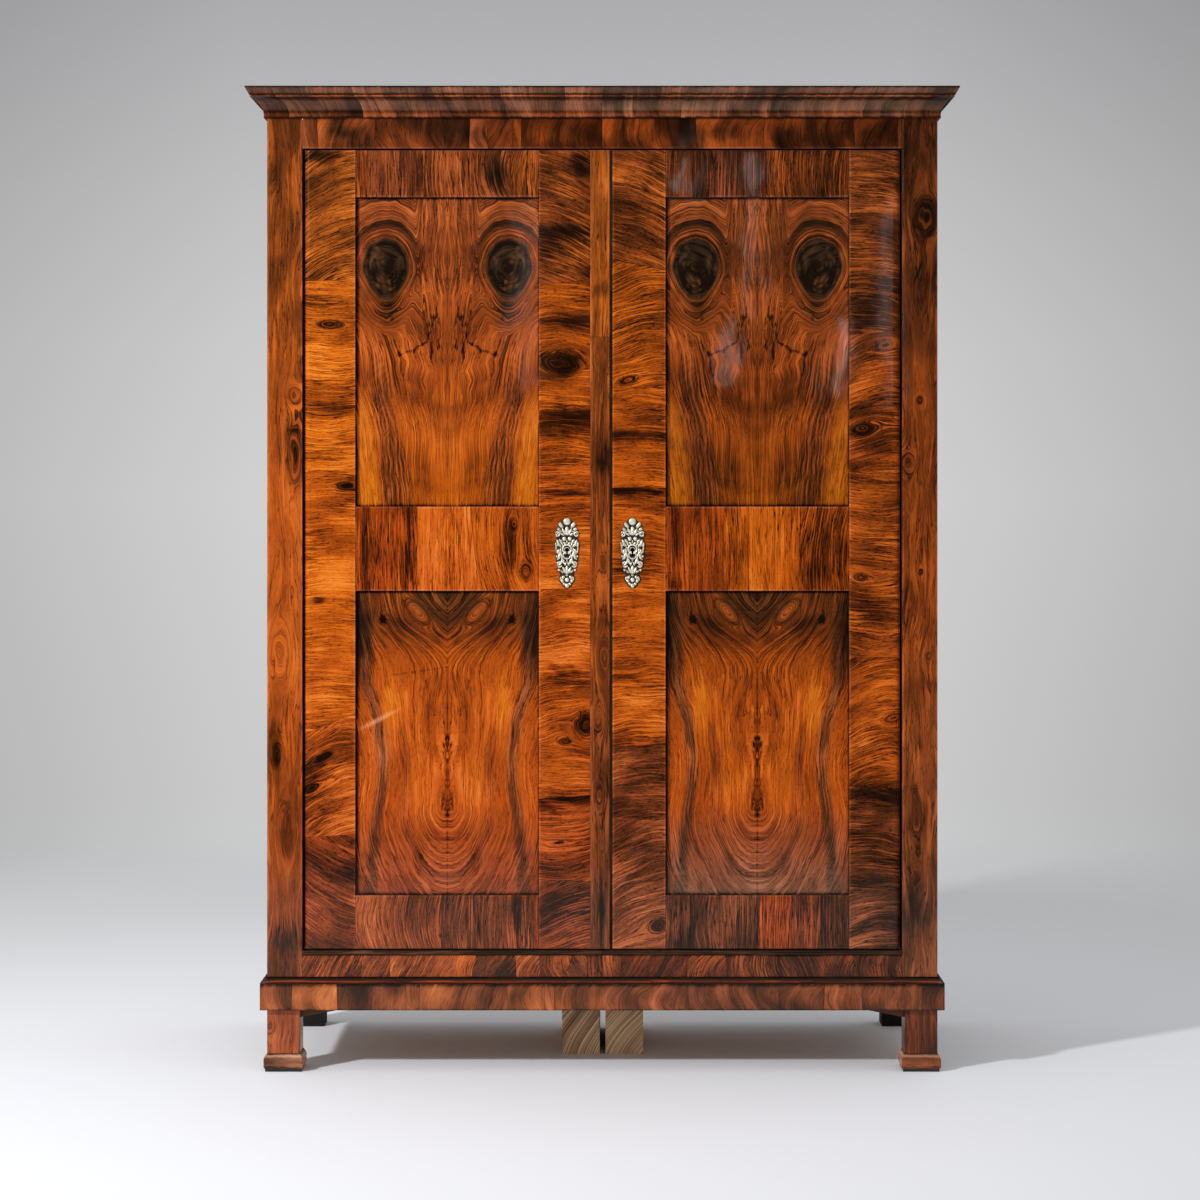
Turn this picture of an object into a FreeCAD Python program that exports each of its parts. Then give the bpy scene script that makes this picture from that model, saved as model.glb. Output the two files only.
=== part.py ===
import FreeCAD, Part
import math
import os

# A two-door wardrobe in walnut veneer that comes apart into a left and a right half.
# Each half has a front stile, a side board, a partition at the seam, boards top and bottom,
# planks behind, its share of cornice and plinth, a moulded front foot, a plain rear foot and
# a rough beam under the seam. Two frame-and-panel doors turn on pins hidden in the sill and
# the frieze, and each has a rim lock whose bolt runs into the partition beside it.
# Frame: +X to the right, +Y to the back, +Z up, millimetres. The origin lies on the floor
# under the middle of the whole outline.
os.makedirs("parts", exist_ok=True)
V = FreeCAD.Vector

# Whole object
overall_height = 1950.0
body_width = 1330.0
body_depth = 560.0
cornice_reach = 40.0
cornice_height = 59.0
foot_height = 123.0
plinth_height = 52.0
plinth_reach = 13.0
seam_gap = 1.0

# Boards of the body
stile_width = 70.0
side_thickness = 24.0
partition_thickness = 24.0
top_thickness = 20.0
bottom_thickness = 20.0
back_thickness = 14.0
back_lap = 12.0
back_plank_count = 4
back_plank_gap = 0.6
dado_depth = 8.0
joint_fit = 0.2
edge_round = 1.5
overrun = 5.0

# Front opening
frieze_height = 60.5
bottom_rail_height = 55.0
sill_height = 10.0
sill_reach = 2.0
sill_round = 4.5
door_gap = 3.0
door_recess = 3.0
door_back_gap = 1.5

# Doors
door_thickness = 24.0
door_outer_stile_width = 102.0
door_panel_width = 364.0
door_top_rail_height = 93.0
door_middle_rail_height = 167.5
door_bottom_rail_height = 106.0
lower_panel_height = 604.0
panel_recess = 9.0
panel_thickness = 8.0
panel_tongue = 10.0
groove_end_gap = 2.0
tenon_length = 40.0
tenon_shoulder = 14.0

# Strip that covers the seam, on the left door
strip_width = 39.0
strip_start = 24.0
strip_gap = 5.0
strip_lap = 12.0
strip_sink = 8.0
strip_round = 2.0

# Pin hinges
hinge_plate_length = 56.0
hinge_plate_width = 18.0
hinge_plate_thickness = 2.0
hinge_plate_overhang = 11.0
hinge_pin_radius = 4.0
hinge_pin_fit = 0.06
hinge_pin_length = 13.0
hinge_shoulder_radius = 7.0
hinge_shoulder_gap = 0.15
hinge_bore_radius = 5.5
hinge_bore_extra = 3.0

# Locks and their plates
keyhole_height = 1034.0
left_keyhole_from_seam = 70.0
right_keyhole_from_seam = 60.0
keyhole_radius = 3.6
keyhole_slot_width = 3.2
keyhole_slot_drop = 13.0
lock_case_length = 82.0
lock_case_height = 96.0
lock_case_depth = 16.0
lock_case_clear = 3.5
lock_rim_width = 8.0
lock_rim_thickness = 2.0
bolt_length = 46.0
bolt_height = 20.0
bolt_depth = 8.0
bolt_rise = 12.0
bolt_fit = 0.3
bolt_travel = 11.0
bolt_tip_inset = 0.5
mortise_fit = 1.0
mortise_extra = 2.0
escutcheon_thickness = 3.0
escutcheon_boss_height = 1.6
escutcheon_boss_radius = 7.5
escutcheon_drop = 6.0

# Cornice profile, outwards from the body and upwards from its foot
cornice_foot_reach = 6.2
cornice_cove_reach = 30.7
cornice_cove_height = 39.0
cornice_cove_sag = 8.2
cornice_fillet_height = 4.0
cornice_step = 1.5
cornice_lip_height = 2.0
frame_rail_thickness = 22.0

# Plinth
plinth_thickness = 22.0
plinth_round = 1.5
moulding_height = 13.0
moulding_fillet = 2.5
moulding_edge = 1.5
moulding_sag = 2.8
bracket_length = 90.0
bracket_drop = 17.0

# Feet
foot_width = 65.0
foot_base_reach = 6.5
foot_base_height = 18.0
foot_shoulder_height = 11.5
foot_base_chamfer = 2.0
foot_base_chamfer_height = 3.0
foot_pad_height = 6.0
foot_pad_inset = 3.0
foot_tenon_inset = 10.0
beam_width = 77.0
beam_length = 300.0
beam_setback = 182.0
beam_from_seam = 6.0

# Inside
shelf_count = 4
shelf_thickness = 20.0
shelf_setback = 40.0
shelf_side_gap = 1.0
bearer_height = 22.0
bearer_width = 18.0
bearer_end_inset = 15.0
hat_shelf_drop = 311.0
rail_radius = 14.0
rail_drop = 75.0
rail_fit = 0.3
rail_end_gap = 0.3
socket_width = 60.0
socket_thickness = 20.0
joining_bolt_radius = 5.0
joining_bolt_fit = 0.4
joining_head_width = 20.0
joining_head_height = 7.0
joining_nut_width = 17.0
joining_end_length = 4.0
joining_setback = 60.0
joining_height_shares = (0.12, 0.88)

# Places that follow from the sizes
front = (cornice_reach - body_depth) / 2
back = front + body_depth
half_width = body_width / 2
seam = seam_gap / 2
plinth_top = foot_height + plinth_height
body_top = overall_height - cornice_height
frame_thickness = door_recess + door_thickness + door_back_gap
frame_back = front + frame_thickness
opening_side = half_width - stile_width
opening_bottom = plinth_top + bottom_rail_height + sill_height
opening_top = body_top - frieze_height
partition_side = seam + partition_thickness
side_face = half_width - side_thickness
back_face = back - back_thickness
board_underside = opening_bottom - bottom_thickness
top_underside = body_top - top_thickness
hat_shelf_height = top_underside - hat_shelf_drop

door_face = front + door_recess
door_back = door_face + door_thickness
door_bottom = opening_bottom + door_gap
door_top = opening_top - door_gap
door_side = opening_side - door_gap
panel_outer = door_side - door_outer_stile_width
panel_inner = panel_outer - door_panel_width
right_door_edge = strip_width - strip_start + strip_gap
left_door_edge = strip_start - strip_lap
lower_panel_bottom = door_bottom + door_bottom_rail_height
lower_panel_top = lower_panel_bottom + lower_panel_height
upper_panel_bottom = lower_panel_top + door_middle_rail_height
upper_panel_top = door_top - door_top_rail_height
panel_face = door_face + panel_recess
panel_back = panel_face + panel_thickness
groove_depth = panel_tongue + groove_end_gap

pivot_x = door_side - door_thickness / 2
pivot_y = door_face + door_thickness / 2
lock_case_start = partition_side + lock_case_clear
shaft_bottom = foot_pad_height + foot_base_height + foot_shoulder_height


def box(x0, x1, y0, y1, z0, z1):
    return Part.makeBox(x1 - x0, y1 - y0, z1 - z0, V(x0, y0, z0))


def corner(before, at, after, radius):
    """Start, middle and end of the round at one corner of an outline, or the corner itself."""
    if radius <= 0:
        return [at]
    a = (before - at).normalize()
    b = (after - at).normalize()
    half = a.getAngle(b) / 2
    reach = radius / math.tan(half)
    middle = (a + b).normalize()
    return [at + a * reach, at + middle * (radius / math.sin(half) - radius), at + b * reach]


def outline(corners):
    """A flat face from corners, each a point and the radius of its round."""
    edges = []
    count = len(corners)
    rounds = [corner(corners[i - 1][0], corners[i][0], corners[(i + 1) % count][0], corners[i][1])
              for i in range(count)]
    for i in range(count):
        here = rounds[i]
        there = rounds[(i + 1) % count]
        if len(here) == 3:
            edges.append(Part.Arc(*here).toShape())
        edges.append(Part.makeLine(here[-1], there[0]))
    return Part.Face(Part.Wire(edges))


def along_x(profile, x0, x1):
    """Extrudes a profile of (y, z, radius) corners from x0 to x1."""
    return outline([(V(x0, y, z), r) for y, z, r in profile]).extrude(V(x1 - x0, 0, 0))


def along_z(profile, z0, z1):
    """Extrudes a profile of (x, y, radius) corners from z0 to z1."""
    return outline([(V(x, y, z0), r) for x, y, r in profile]).extrude(V(0, 0, z1 - z0))


def mirrored(shape):
    return shape.mirror(V(0, 0, 0), V(1, 0, 0))


def pair(shape):
    """The same piece in both halves, as separate solids."""
    return [mirrored(shape), shape]


def save(name, *solids):
    shape = solids[0] if len(solids) == 1 else Part.makeCompound(list(solids))
    shape.exportStep("parts/" + name + ".step")
    print(name, len(shape.Solids), round(shape.Volume / 1000))


def save_halves(name, shape):
    """Writes a right-hand piece and its mirror image as two nodes."""
    save("right_" + name, shape)
    save("left_" + name, mirrored(shape))


# Body boards, each drawn for the right half

def front_stile():
    profile = [
        (opening_side, front, edge_round), (half_width, front, edge_round),
        (half_width, frame_back, 0), (opening_side, frame_back, 0),
    ]
    return along_z(profile, plinth_top, body_top)


def board_dado(x0, x1):
    """Groove that takes the end of the bottom board."""
    return box(x0, x1, frame_back - overrun, back_face + joint_fit,
               board_underside - joint_fit, opening_bottom + joint_fit)


def joining_places():
    """Centres (y, z) of the bolts that draw the two halves together."""
    height = opening_top - opening_bottom
    for share in joining_height_shares:
        for y in (frame_back + joining_setback, back_face - joining_setback):
            yield y, opening_bottom + height * share


def side_board():
    board = box(side_face, half_width, frame_back, back, plinth_top, body_top)
    board = board.cut(board_dado(side_face - overrun, side_face + dado_depth + joint_fit))
    top_step = box(side_face - overrun, side_face + dado_depth + joint_fit, frame_back - overrun, back_face + joint_fit,
                   top_underside, body_top + overrun)
    rebate = box(side_face - overrun, side_face + back_lap, back_face, back + overrun,
                 plinth_top - overrun, body_top + overrun)
    return board.cut(top_step).cut(rebate)


def partition():
    board = box(seam, partition_side, frame_back, back, plinth_top, top_underside)
    board = board.cut(board_dado(partition_side - dado_depth - joint_fit, partition_side + overrun))
    rebate = box(partition_side - back_lap, partition_side + overrun, back_face, back + overrun,
                 plinth_top - overrun, top_underside + overrun)
    board = board.cut(rebate)
    for y, z in joining_places():
        hole = Part.makeCylinder(joining_bolt_radius + joining_bolt_fit, partition_side + overrun,
                                 V(0, y, z), V(1, 0, 0))
        board = board.cut(hole)
    tip = lock_case_start + bolt_tip_inset - bolt_travel
    y0, y1, z0, z1 = bolt_section()
    mortise = box(tip - mortise_extra, partition_side + overrun, y0 - mortise_fit, y1 + mortise_fit,
                  z0 - mortise_fit, z1 + mortise_fit)
    return board.cut(mortise)


def top_board():
    """Lies on the partition and on the step at the top of the side board."""
    return box(seam, side_face + dado_depth, frame_back, back_face, top_underside, body_top)


def bottom_board():
    return box(partition_side - dado_depth, side_face + dado_depth, frame_back, back_face,
               board_underside, opening_bottom)


def back_planks():
    """Upright planks side by side in the rebates behind, nailed there on the real thing."""
    x0 = partition_side - back_lap
    width = (side_face + back_lap - x0) / back_plank_count
    for i in range(back_plank_count):
        left = x0 + width * i + back_plank_gap / 2
        right = x0 + width * (i + 1) - back_plank_gap / 2
        yield box(left, right, back_face, back, plinth_top, body_top)


def frieze_rail():
    profile = [
        (front, opening_top, edge_round), (front, body_top, 0),
        (frame_back, body_top, 0), (frame_back, opening_top, 0),
    ]
    rail = along_x(profile, seam, opening_side)
    return rail.cut(hinge_plate(opening_top, 1, joint_fit))


def bottom_rail():
    return box(seam, opening_side, front, frame_back, plinth_top, plinth_top + bottom_rail_height)


def sill_bead():
    sill_bottom = plinth_top + bottom_rail_height
    profile = [
        (front - sill_reach, sill_bottom, sill_round), (front - sill_reach, opening_bottom, sill_round),
        (frame_back, opening_bottom, 0), (frame_back, sill_bottom, 0),
    ]
    bead = along_x(profile, seam, opening_side)
    return bead.cut(hinge_plate(opening_bottom, -1, joint_fit))


# Cornice and plinth, mitred at the front corner

def mitre_cutter(reach, z0, z1, keep_front):
    """A triangular prism on one side of the 45 degree plane through the front corner."""
    far = body_width + body_depth
    x, y = half_width + reach, front - reach
    inner = V(x - far, y + far, z0)
    outer = V(x + reach, y - reach, z0)
    third = V(x + reach, y + far, z0) if keep_front else V(x - far, y - reach, z0)
    face = Part.Face(Part.makePolygon([inner, outer, third, inner]))
    return face.extrude(V(0, 0, z1 - z0))


def cornice_outline(origin, outward):
    """The cornice section in the upright plane through origin along outward."""
    def at(reach, height):
        return origin + outward * reach + V(0, 0, height)
    fillet_top = cornice_cove_height + cornice_fillet_height
    foot = at(cornice_foot_reach, 0)
    cove_end = at(cornice_cove_reach, cornice_cove_height)
    chord = cove_end - foot
    normal = V(0, 0, 1) * chord.dot(outward) - outward * chord.z
    middle = (foot + cove_end) / 2 + normal.normalize() * cornice_cove_sag
    points = [
        cove_end, at(cornice_cove_reach, fillet_top), at(cornice_cove_reach + cornice_step, fillet_top),
        at(cornice_reach, cornice_height - cornice_lip_height), at(cornice_reach, cornice_height),
        at(-frame_thickness, cornice_height), at(-frame_thickness, 0), foot,
    ]
    edges = [Part.Arc(foot, middle, cove_end).toShape()]
    edges += [Part.makeLine(a, b) for a, b in zip(points, points[1:])]
    return Part.Face(Part.Wire(edges))


def moulding_outline(origin, outward):
    """The small hollow moulding that stands on the plinth against the body."""
    def at(reach, height):
        return origin + outward * reach + V(0, 0, height)
    top = at(moulding_fillet, moulding_height)
    low = at(plinth_reach, moulding_edge)
    chord = low - top
    inwards = V(0, 0, -1) * chord.dot(outward) + outward * chord.z
    middle = (top + low) / 2 + inwards.normalize() * moulding_sag
    points = [low, at(plinth_reach, 0), at(0, 0), at(0, moulding_height), top]
    edges = [Part.Arc(top, middle, low).toShape()]
    edges += [Part.makeLine(a, b) for a, b in zip(points, points[1:])]
    return Part.Face(Part.Wire(edges))


def mitred(section, reach, z0, z1):
    """A moulding across the front and one down the side, cut to meet at 45 degrees."""
    across = section(V(seam, front, z0), V(0, -1, 0))
    across = across.extrude(V(half_width + reach + overrun - seam, 0, 0))
    down = section(V(half_width, back, z0), V(1, 0, 0))
    down = down.extrude(V(0, front - reach - overrun - back, 0))
    low, high = z0 - overrun, z1 + overrun
    return across.cut(mitre_cutter(reach, low, high, True)), down.cut(mitre_cutter(reach, low, high, False))


def plinth_outline(origin, outward):
    def at(reach, height):
        return origin + outward * reach + V(0, 0, height)
    return outline([
        (at(plinth_reach, 0), plinth_round), (at(plinth_reach, plinth_height), plinth_round),
        (at(plinth_reach - plinth_thickness, plinth_height), 0), (at(plinth_reach - plinth_thickness, 0), 0),
    ])


def rails_behind(z0, z1, thickness, inset):
    """Rough rails at the back and along the seam that close a mitred frame."""
    y1 = back
    rear = box(seam, half_width - inset, y1 - thickness, y1, z0, z1)
    by_seam = box(seam, seam + thickness, front + inset, y1 - thickness, z0, z1)
    return [rear, by_seam]


# Feet

def front_foot():
    shaft = box(half_width - foot_width, half_width, front, front + foot_width, shaft_bottom, foot_height)
    inner_x = half_width + plinth_reach - plinth_thickness
    inner_y = front - plinth_reach + plinth_thickness
    tenon = box(half_width - foot_width + foot_tenon_inset, inner_x,
                inner_y, front + foot_width - foot_tenon_inset, foot_height, plinth_top)
    return shaft.fuse(tenon)


def square(reach, z):
    """The foot's square outline, grown by reach on all sides."""
    x0, x1 = half_width - foot_width - reach, half_width + reach
    y0, y1 = front - reach, front + foot_width + reach
    return Part.makePolygon([V(x0, y0, z), V(x1, y0, z), V(x1, y1, z), V(x0, y1, z), V(x0, y0, z)])


def foot_base():
    z0 = foot_pad_height
    return Part.makeLoft([
        square(foot_base_reach - foot_base_chamfer, z0),
        square(foot_base_reach, z0 + foot_base_chamfer_height),
        square(foot_base_reach, z0 + foot_base_height),
        square(0, shaft_bottom),
    ], True, True)


def foot_pad():
    grow = foot_base_reach - foot_pad_inset
    return box(half_width - foot_width - grow, half_width + grow,
               front - grow, front + foot_width + grow, 0, foot_pad_height)


def rear_foot():
    return box(half_width - foot_width, half_width, back - foot_width, back, 0, foot_height)


def beam():
    y0 = front + beam_setback
    return box(beam_from_seam, beam_from_seam + beam_width, y0, y0 + beam_length, 0, foot_height)


def foot_bracket():
    """Wedge behind the plinth that ties the foot and shows below the plinth beside it."""
    y0 = front - plinth_reach + plinth_thickness
    x1 = half_width - foot_width
    profile = Part.Face(Part.makePolygon([
        V(x1, y0, plinth_top), V(x1, y0, foot_height - bracket_drop),
        V(x1 - bracket_length, y0, foot_height), V(x1 - bracket_length, y0, plinth_top),
        V(x1, y0, plinth_top),
    ]))
    return profile.extrude(V(0, plinth_thickness, 0))


# Pin hinges: a plate with a pin in sill and frieze, a plate with a hole in the door

def hinge_plate(z, up, grow):
    """A plate let into the face at height z. up is 1 where it goes upwards into the wood."""
    deep = hinge_plate_thickness * up
    x1 = pivot_x + hinge_plate_overhang
    return box(x1 - hinge_plate_length - grow, x1 + grow,
               pivot_y - hinge_plate_width / 2 - grow, pivot_y + hinge_plate_width / 2 + grow,
               min(z, z + deep), max(z, z + deep))


def carcass_hinge(z, up):
    """Plate, shoulder and pin. up is 1 in the sill, where the pin stands upwards."""
    plate = hinge_plate(z, -up, 0)
    start = V(pivot_x, pivot_y, z)
    shoulder = Part.makeCylinder(hinge_shoulder_radius, door_gap - hinge_shoulder_gap, start, V(0, 0, up))
    pin = Part.makeCylinder(hinge_pin_radius, door_gap + hinge_pin_length, start, V(0, 0, up))
    return plate.fuse([shoulder, pin])


def door_hinge(z, up):
    """Plate in the door's end. up is 1 at the bottom, where it goes upwards into the stile."""
    plate = hinge_plate(z, up, 0)
    hole = Part.makeCylinder(hinge_pin_radius + hinge_pin_fit, hinge_plate_thickness + 2 * overrun,
                             V(pivot_x, pivot_y, z - overrun * up), V(0, 0, up))
    return plate.cut(hole)


def hinge_pocket(z, up):
    """What the door's stile loses for its plate and the pin."""
    plate = hinge_plate(z, up, joint_fit)
    bore = Part.makeCylinder(hinge_bore_radius, hinge_pin_length + hinge_bore_extra,
                             V(pivot_x, pivot_y, z), V(0, 0, up))
    return plate.fuse(bore)


# Doors, drawn for the right half. edge is the closing edge's distance from the seam

def groove(x0, x1, z0, z1, grow):
    """Room for a panel's tongue or a rail's tenon in the frame."""
    return box(x0, x1, panel_face - joint_fit, panel_back + joint_fit, z0 - grow, z1 + grow)


def panel_grooves(x0, x1):
    first = groove(x0, x1, lower_panel_bottom, lower_panel_top, groove_depth)
    return first.fuse(groove(x0, x1, upper_panel_bottom, upper_panel_top, groove_depth))


def door_rails():
    """Name, bottom, top and which edges carry a panel, for each rail."""
    return [
        ("top_rail", upper_panel_top, door_top, True, False),
        ("middle_rail", lower_panel_top, upper_panel_bottom, True, True),
        ("bottom_rail", door_bottom, lower_panel_bottom, False, True),
    ]


def tenon_span(z0, z1):
    return z0 + tenon_shoulder, z1 - tenon_shoulder


def mortises(x0, x1):
    cuts = []
    for name, z0, z1, below, above in door_rails():
        low, high = tenon_span(z0, z1)
        cuts.append(groove(x0, x1, low, high, joint_fit))
    return cuts


def outer_stile():
    radius = door_thickness / 2
    tip = V(door_side, pivot_y, door_bottom)
    a, b = V(pivot_x, door_face, door_bottom), V(pivot_x, door_back, door_bottom)
    c, d = V(panel_outer, door_back, door_bottom), V(panel_outer, door_face + edge_round, door_bottom)
    e = V(panel_outer + edge_round, door_face, door_bottom)
    bulge = edge_round * (1 - math.sqrt(0.5))
    middle = V(panel_outer + bulge, door_face + bulge, door_bottom)
    heel = Part.Arc(a, tip, b).toShape()
    arris = Part.Arc(d, middle, e).toShape()
    edges = [heel, Part.makeLine(b, c), Part.makeLine(c, d), arris, Part.makeLine(e, a)]
    stile = Part.Face(Part.Wire(edges)).extrude(V(0, 0, door_top - door_bottom))
    stile = stile.cut(panel_grooves(panel_outer - overrun, panel_outer + groove_depth))
    stile = stile.cut(mortises(panel_outer - overrun, panel_outer + tenon_length + joint_fit))
    return stile.cut([hinge_pocket(door_bottom, 1), hinge_pocket(door_top, -1)])


def keyhole(x, y0, y1):
    """The shape of the key, run from y0 to y1."""
    barrel = Part.makeCylinder(keyhole_radius, y1 - y0, V(x, y0, keyhole_height), V(0, 1, 0))
    slot = box(x - keyhole_slot_width / 2, x + keyhole_slot_width / 2, y0, y1,
               keyhole_height - keyhole_slot_drop, keyhole_height)
    return barrel.fuse(slot)


def inner_stile(edge, keyhole_x):
    profile = [
        (edge, door_face, edge_round), (panel_inner, door_face, edge_round),
        (panel_inner, door_back, 0), (edge, door_back, 0),
    ]
    stile = along_z(profile, door_bottom, door_top)
    stile = stile.cut(panel_grooves(panel_inner - groove_depth, panel_inner + overrun))
    stile = stile.cut(mortises(panel_inner - tenon_length - joint_fit, panel_inner + overrun))
    return stile.cut(keyhole(keyhole_x, door_face - overrun, door_back + overrun))


def door_rail(z0, z1, below, above):
    profile = [
        (door_face, z0, edge_round if below else 0), (door_face, z1, edge_round if above else 0),
        (door_back, z1, 0), (door_back, z0, 0),
    ]
    rail = along_x(profile, panel_inner, panel_outer)
    if below:
        rail = rail.cut(groove(panel_inner - overrun, panel_outer + overrun, z0 - overrun, z0 + groove_depth, 0))
    if above:
        rail = rail.cut(groove(panel_inner - overrun, panel_outer + overrun, z1 - groove_depth, z1 + overrun, 0))
    low, high = tenon_span(z0, z1)
    tenon = box(panel_inner - tenon_length, panel_outer + tenon_length, panel_face, panel_back, low, high)
    return rail.fuse(tenon)


def door_panel(z0, z1):
    return box(panel_inner - panel_tongue, panel_outer + panel_tongue, panel_face, panel_back,
               z0 - panel_tongue, z1 + panel_tongue)


def closing_strip():
    """Drawn in the mirrored half, so it starts at strip_start and runs past the seam."""
    far = strip_start - strip_width
    profile = [
        (far, front, strip_round), (strip_start, front, strip_round),
        (strip_start, door_face + strip_sink, 0), (far, door_face + strip_sink, 0),
    ]
    return along_z(profile, door_bottom, door_top)


def strip_rebate():
    return box(left_door_edge - overrun, strip_start, door_face - overrun, door_face + strip_sink,
               door_bottom - overrun, door_top + overrun)


# Locks

def bolt_section():
    """The bolt's y and z limits, halfway through the case and above the key."""
    y0 = door_back + (lock_case_depth - bolt_depth) / 2
    z0 = keyhole_height + bolt_rise
    return y0, y0 + bolt_depth, z0, z0 + bolt_height


def lock_bolt():
    y0, y1, z0, z1 = bolt_section()
    x0 = lock_case_start + bolt_tip_inset
    return box(x0, x0 + bolt_length, y0, y1, z0, z1)


def lock_case(keyhole_x):
    z0 = keyhole_height - lock_case_height / 2
    z1 = keyhole_height + lock_case_height / 2
    x1 = lock_case_start + lock_case_length
    case = box(lock_case_start, x1, door_back, door_back + lock_case_depth, z0, z1)
    rim = box(lock_case_start, x1 + lock_rim_width, door_back, door_back + lock_rim_thickness,
              z0 - lock_rim_width, z1 + lock_rim_width)
    y0, y1, low, high = bolt_section()
    channel = box(lock_case_start - overrun, lock_case_start + bolt_length + bolt_fit + bolt_tip_inset,
                  y0 - bolt_fit, y1 + bolt_fit, low - bolt_fit, high + bolt_fit)
    key = keyhole(keyhole_x, door_back - overrun, door_back + lock_case_depth + overrun)
    return case.fuse(rim).cut([channel, key])


# The key plate's lobes from top to bottom: distance off the middle, height above the plate's
# centre, and radius, as shares of the plate's half height
escutcheon_half_height = 70.0
escutcheon_lobe_shares = [
    (0.0, 0.880, 0.120), (0.160, 0.770, 0.105), (0.230, 0.590, 0.105), (0.250, 0.400, 0.090),
    (0.255, 0.225, 0.112), (0.225, 0.030, 0.100), (0.215, -0.130, 0.110), (0.200, -0.290, 0.100),
    (0.185, -0.470, 0.085), (0.120, -0.745, 0.110), (0.0, -0.890, 0.110),
]
escutcheon_core_shares = [(0.0, 0.55, 0.290), (0.0, 0.14, 0.330), (0.0, -0.25, 0.270), (0.0, -0.66, 0.200)]


def escutcheon(keyhole_x):
    half = escutcheon_half_height
    centre = V(keyhole_x, door_face, keyhole_height - escutcheon_drop)
    plate = None
    for off, height, radius in escutcheon_core_shares + escutcheon_lobe_shares:
        for side in ((1, -1) if off else (1,)):
            at = centre + V(off * half * side, 0, height * half)
            disc = Part.makeCylinder(radius * half, escutcheon_thickness, at, V(0, -1, 0))
            plate = disc if plate is None else plate.fuse(disc)
    boss = Part.makeCylinder(escutcheon_boss_radius, escutcheon_thickness + escutcheon_boss_height,
                             V(keyhole_x, door_face, keyhole_height), V(0, -1, 0))
    plate = plate.fuse(boss)
    outermost = door_face - escutcheon_thickness - escutcheon_boss_height
    plate = plate.cut(keyhole(keyhole_x, outermost - overrun, door_face + overrun))
    return plate.removeSplitter()


# Inside

def shelf(z, x0, x1):
    return box(x0 + shelf_side_gap, x1 - shelf_side_gap, frame_back + shelf_setback, back_face, z, z + shelf_thickness)


def bearers(z):
    """The two battens under one shelf."""
    y0, y1 = frame_back + shelf_setback + bearer_end_inset, back_face - bearer_end_inset
    z0 = z - bearer_height
    yield box(partition_side, partition_side + bearer_width, y0, y1, z0, z)
    yield box(side_face - bearer_width, side_face, y0, y1, z0, z)


def shelf_heights():
    """Undersides of the left half's shelves, evenly spaced."""
    clear = (top_underside - opening_bottom - shelf_count * shelf_thickness) / (shelf_count + 1)
    return [opening_bottom + clear * (i + 1) + shelf_thickness * i for i in range(shelf_count)]


def hanging_rail():
    y = (frame_back + back_face) / 2
    z = hat_shelf_height - rail_drop
    x0, x1 = partition_side + rail_end_gap, side_face - rail_end_gap
    return Part.makeCylinder(rail_radius, x1 - x0, V(x0, y, z), V(1, 0, 0))


def rail_sockets():
    y = (frame_back + back_face) / 2
    z = hat_shelf_height - rail_drop
    half = socket_width / 2
    bore = Part.makeCylinder(rail_radius + rail_fit, side_face, V(0, y, z), V(1, 0, 0))
    for x0 in (partition_side, side_face - socket_thickness):
        block = box(x0, x0 + socket_thickness, y - half, y + half, z - half, z + half)
        yield block.cut(bore)


def joining_bolts():
    """Square-headed bolts through both partitions, each with a square nut."""
    head_half = joining_head_width / 2
    nut_half = joining_nut_width / 2
    nut_face = partition_side + nut_half
    for y, z in joining_places():
        shank = Part.makeCylinder(joining_bolt_radius, nut_face + joining_end_length + partition_side,
                                  V(-partition_side, y, z), V(1, 0, 0))
        head = box(-partition_side - joining_head_height, -partition_side,
                   y - head_half, y + head_half, z - head_half, z + head_half)
        yield shank.fuse(head)
        nut = box(partition_side, nut_face, y - nut_half, y + nut_half, z - nut_half, z + nut_half)
        hole = Part.makeCylinder(joining_bolt_radius, nut_face, V(0, y, z), V(1, 0, 0))
        yield nut.cut(hole)


# Writing the nodes

save_halves("front_stile", front_stile())
save_halves("side_board", side_board())
save_halves("partition", partition())
save_halves("frieze_rail", frieze_rail())
save_halves("bottom_rail", bottom_rail())
save("top_boards", *pair(top_board()))
save("bottom_boards", *pair(bottom_board()))
save("back_boards", *[piece for plank in back_planks() for piece in pair(plank)])
save("sill_beads", *pair(sill_bead()))

cornice_front, cornice_side = mitred(cornice_outline, cornice_reach, body_top, overall_height)
save_halves("cornice_front", cornice_front)
save_halves("cornice_side", cornice_side)
plinth_front, plinth_side = mitred(plinth_outline, plinth_reach, foot_height, plinth_top)
save_halves("plinth_front", plinth_front)
save_halves("plinth_side", plinth_side)
moulding_front, moulding_side = mitred(moulding_outline, plinth_reach, plinth_top, plinth_top + moulding_height)
save("plinth_mouldings", *pair(moulding_front), *pair(moulding_side))
cornice_rails = rails_behind(body_top, overall_height - cornice_lip_height, frame_rail_thickness, frame_thickness)
save("cornice_frame_rails", *[piece for rail in cornice_rails for piece in pair(rail)])
plinth_rails = rails_behind(foot_height, plinth_top, frame_rail_thickness, plinth_thickness - plinth_reach)
plinth_pieces = plinth_rails + [foot_bracket()]
save("plinth_frame_rails", *[piece for rail in plinth_pieces for piece in pair(rail)])

save_halves("front_foot", front_foot())
save("foot_bases", *pair(foot_base()))
save("foot_pads", *pair(foot_pad()))
save("rear_feet", *pair(rear_foot()))
save("centre_beams", *pair(beam()))

hinges = [carcass_hinge(opening_bottom, 1), carcass_hinge(opening_top, -1)]
save("carcass_hinge_pins", *[piece for hinge in hinges for piece in pair(hinge)])

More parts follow.
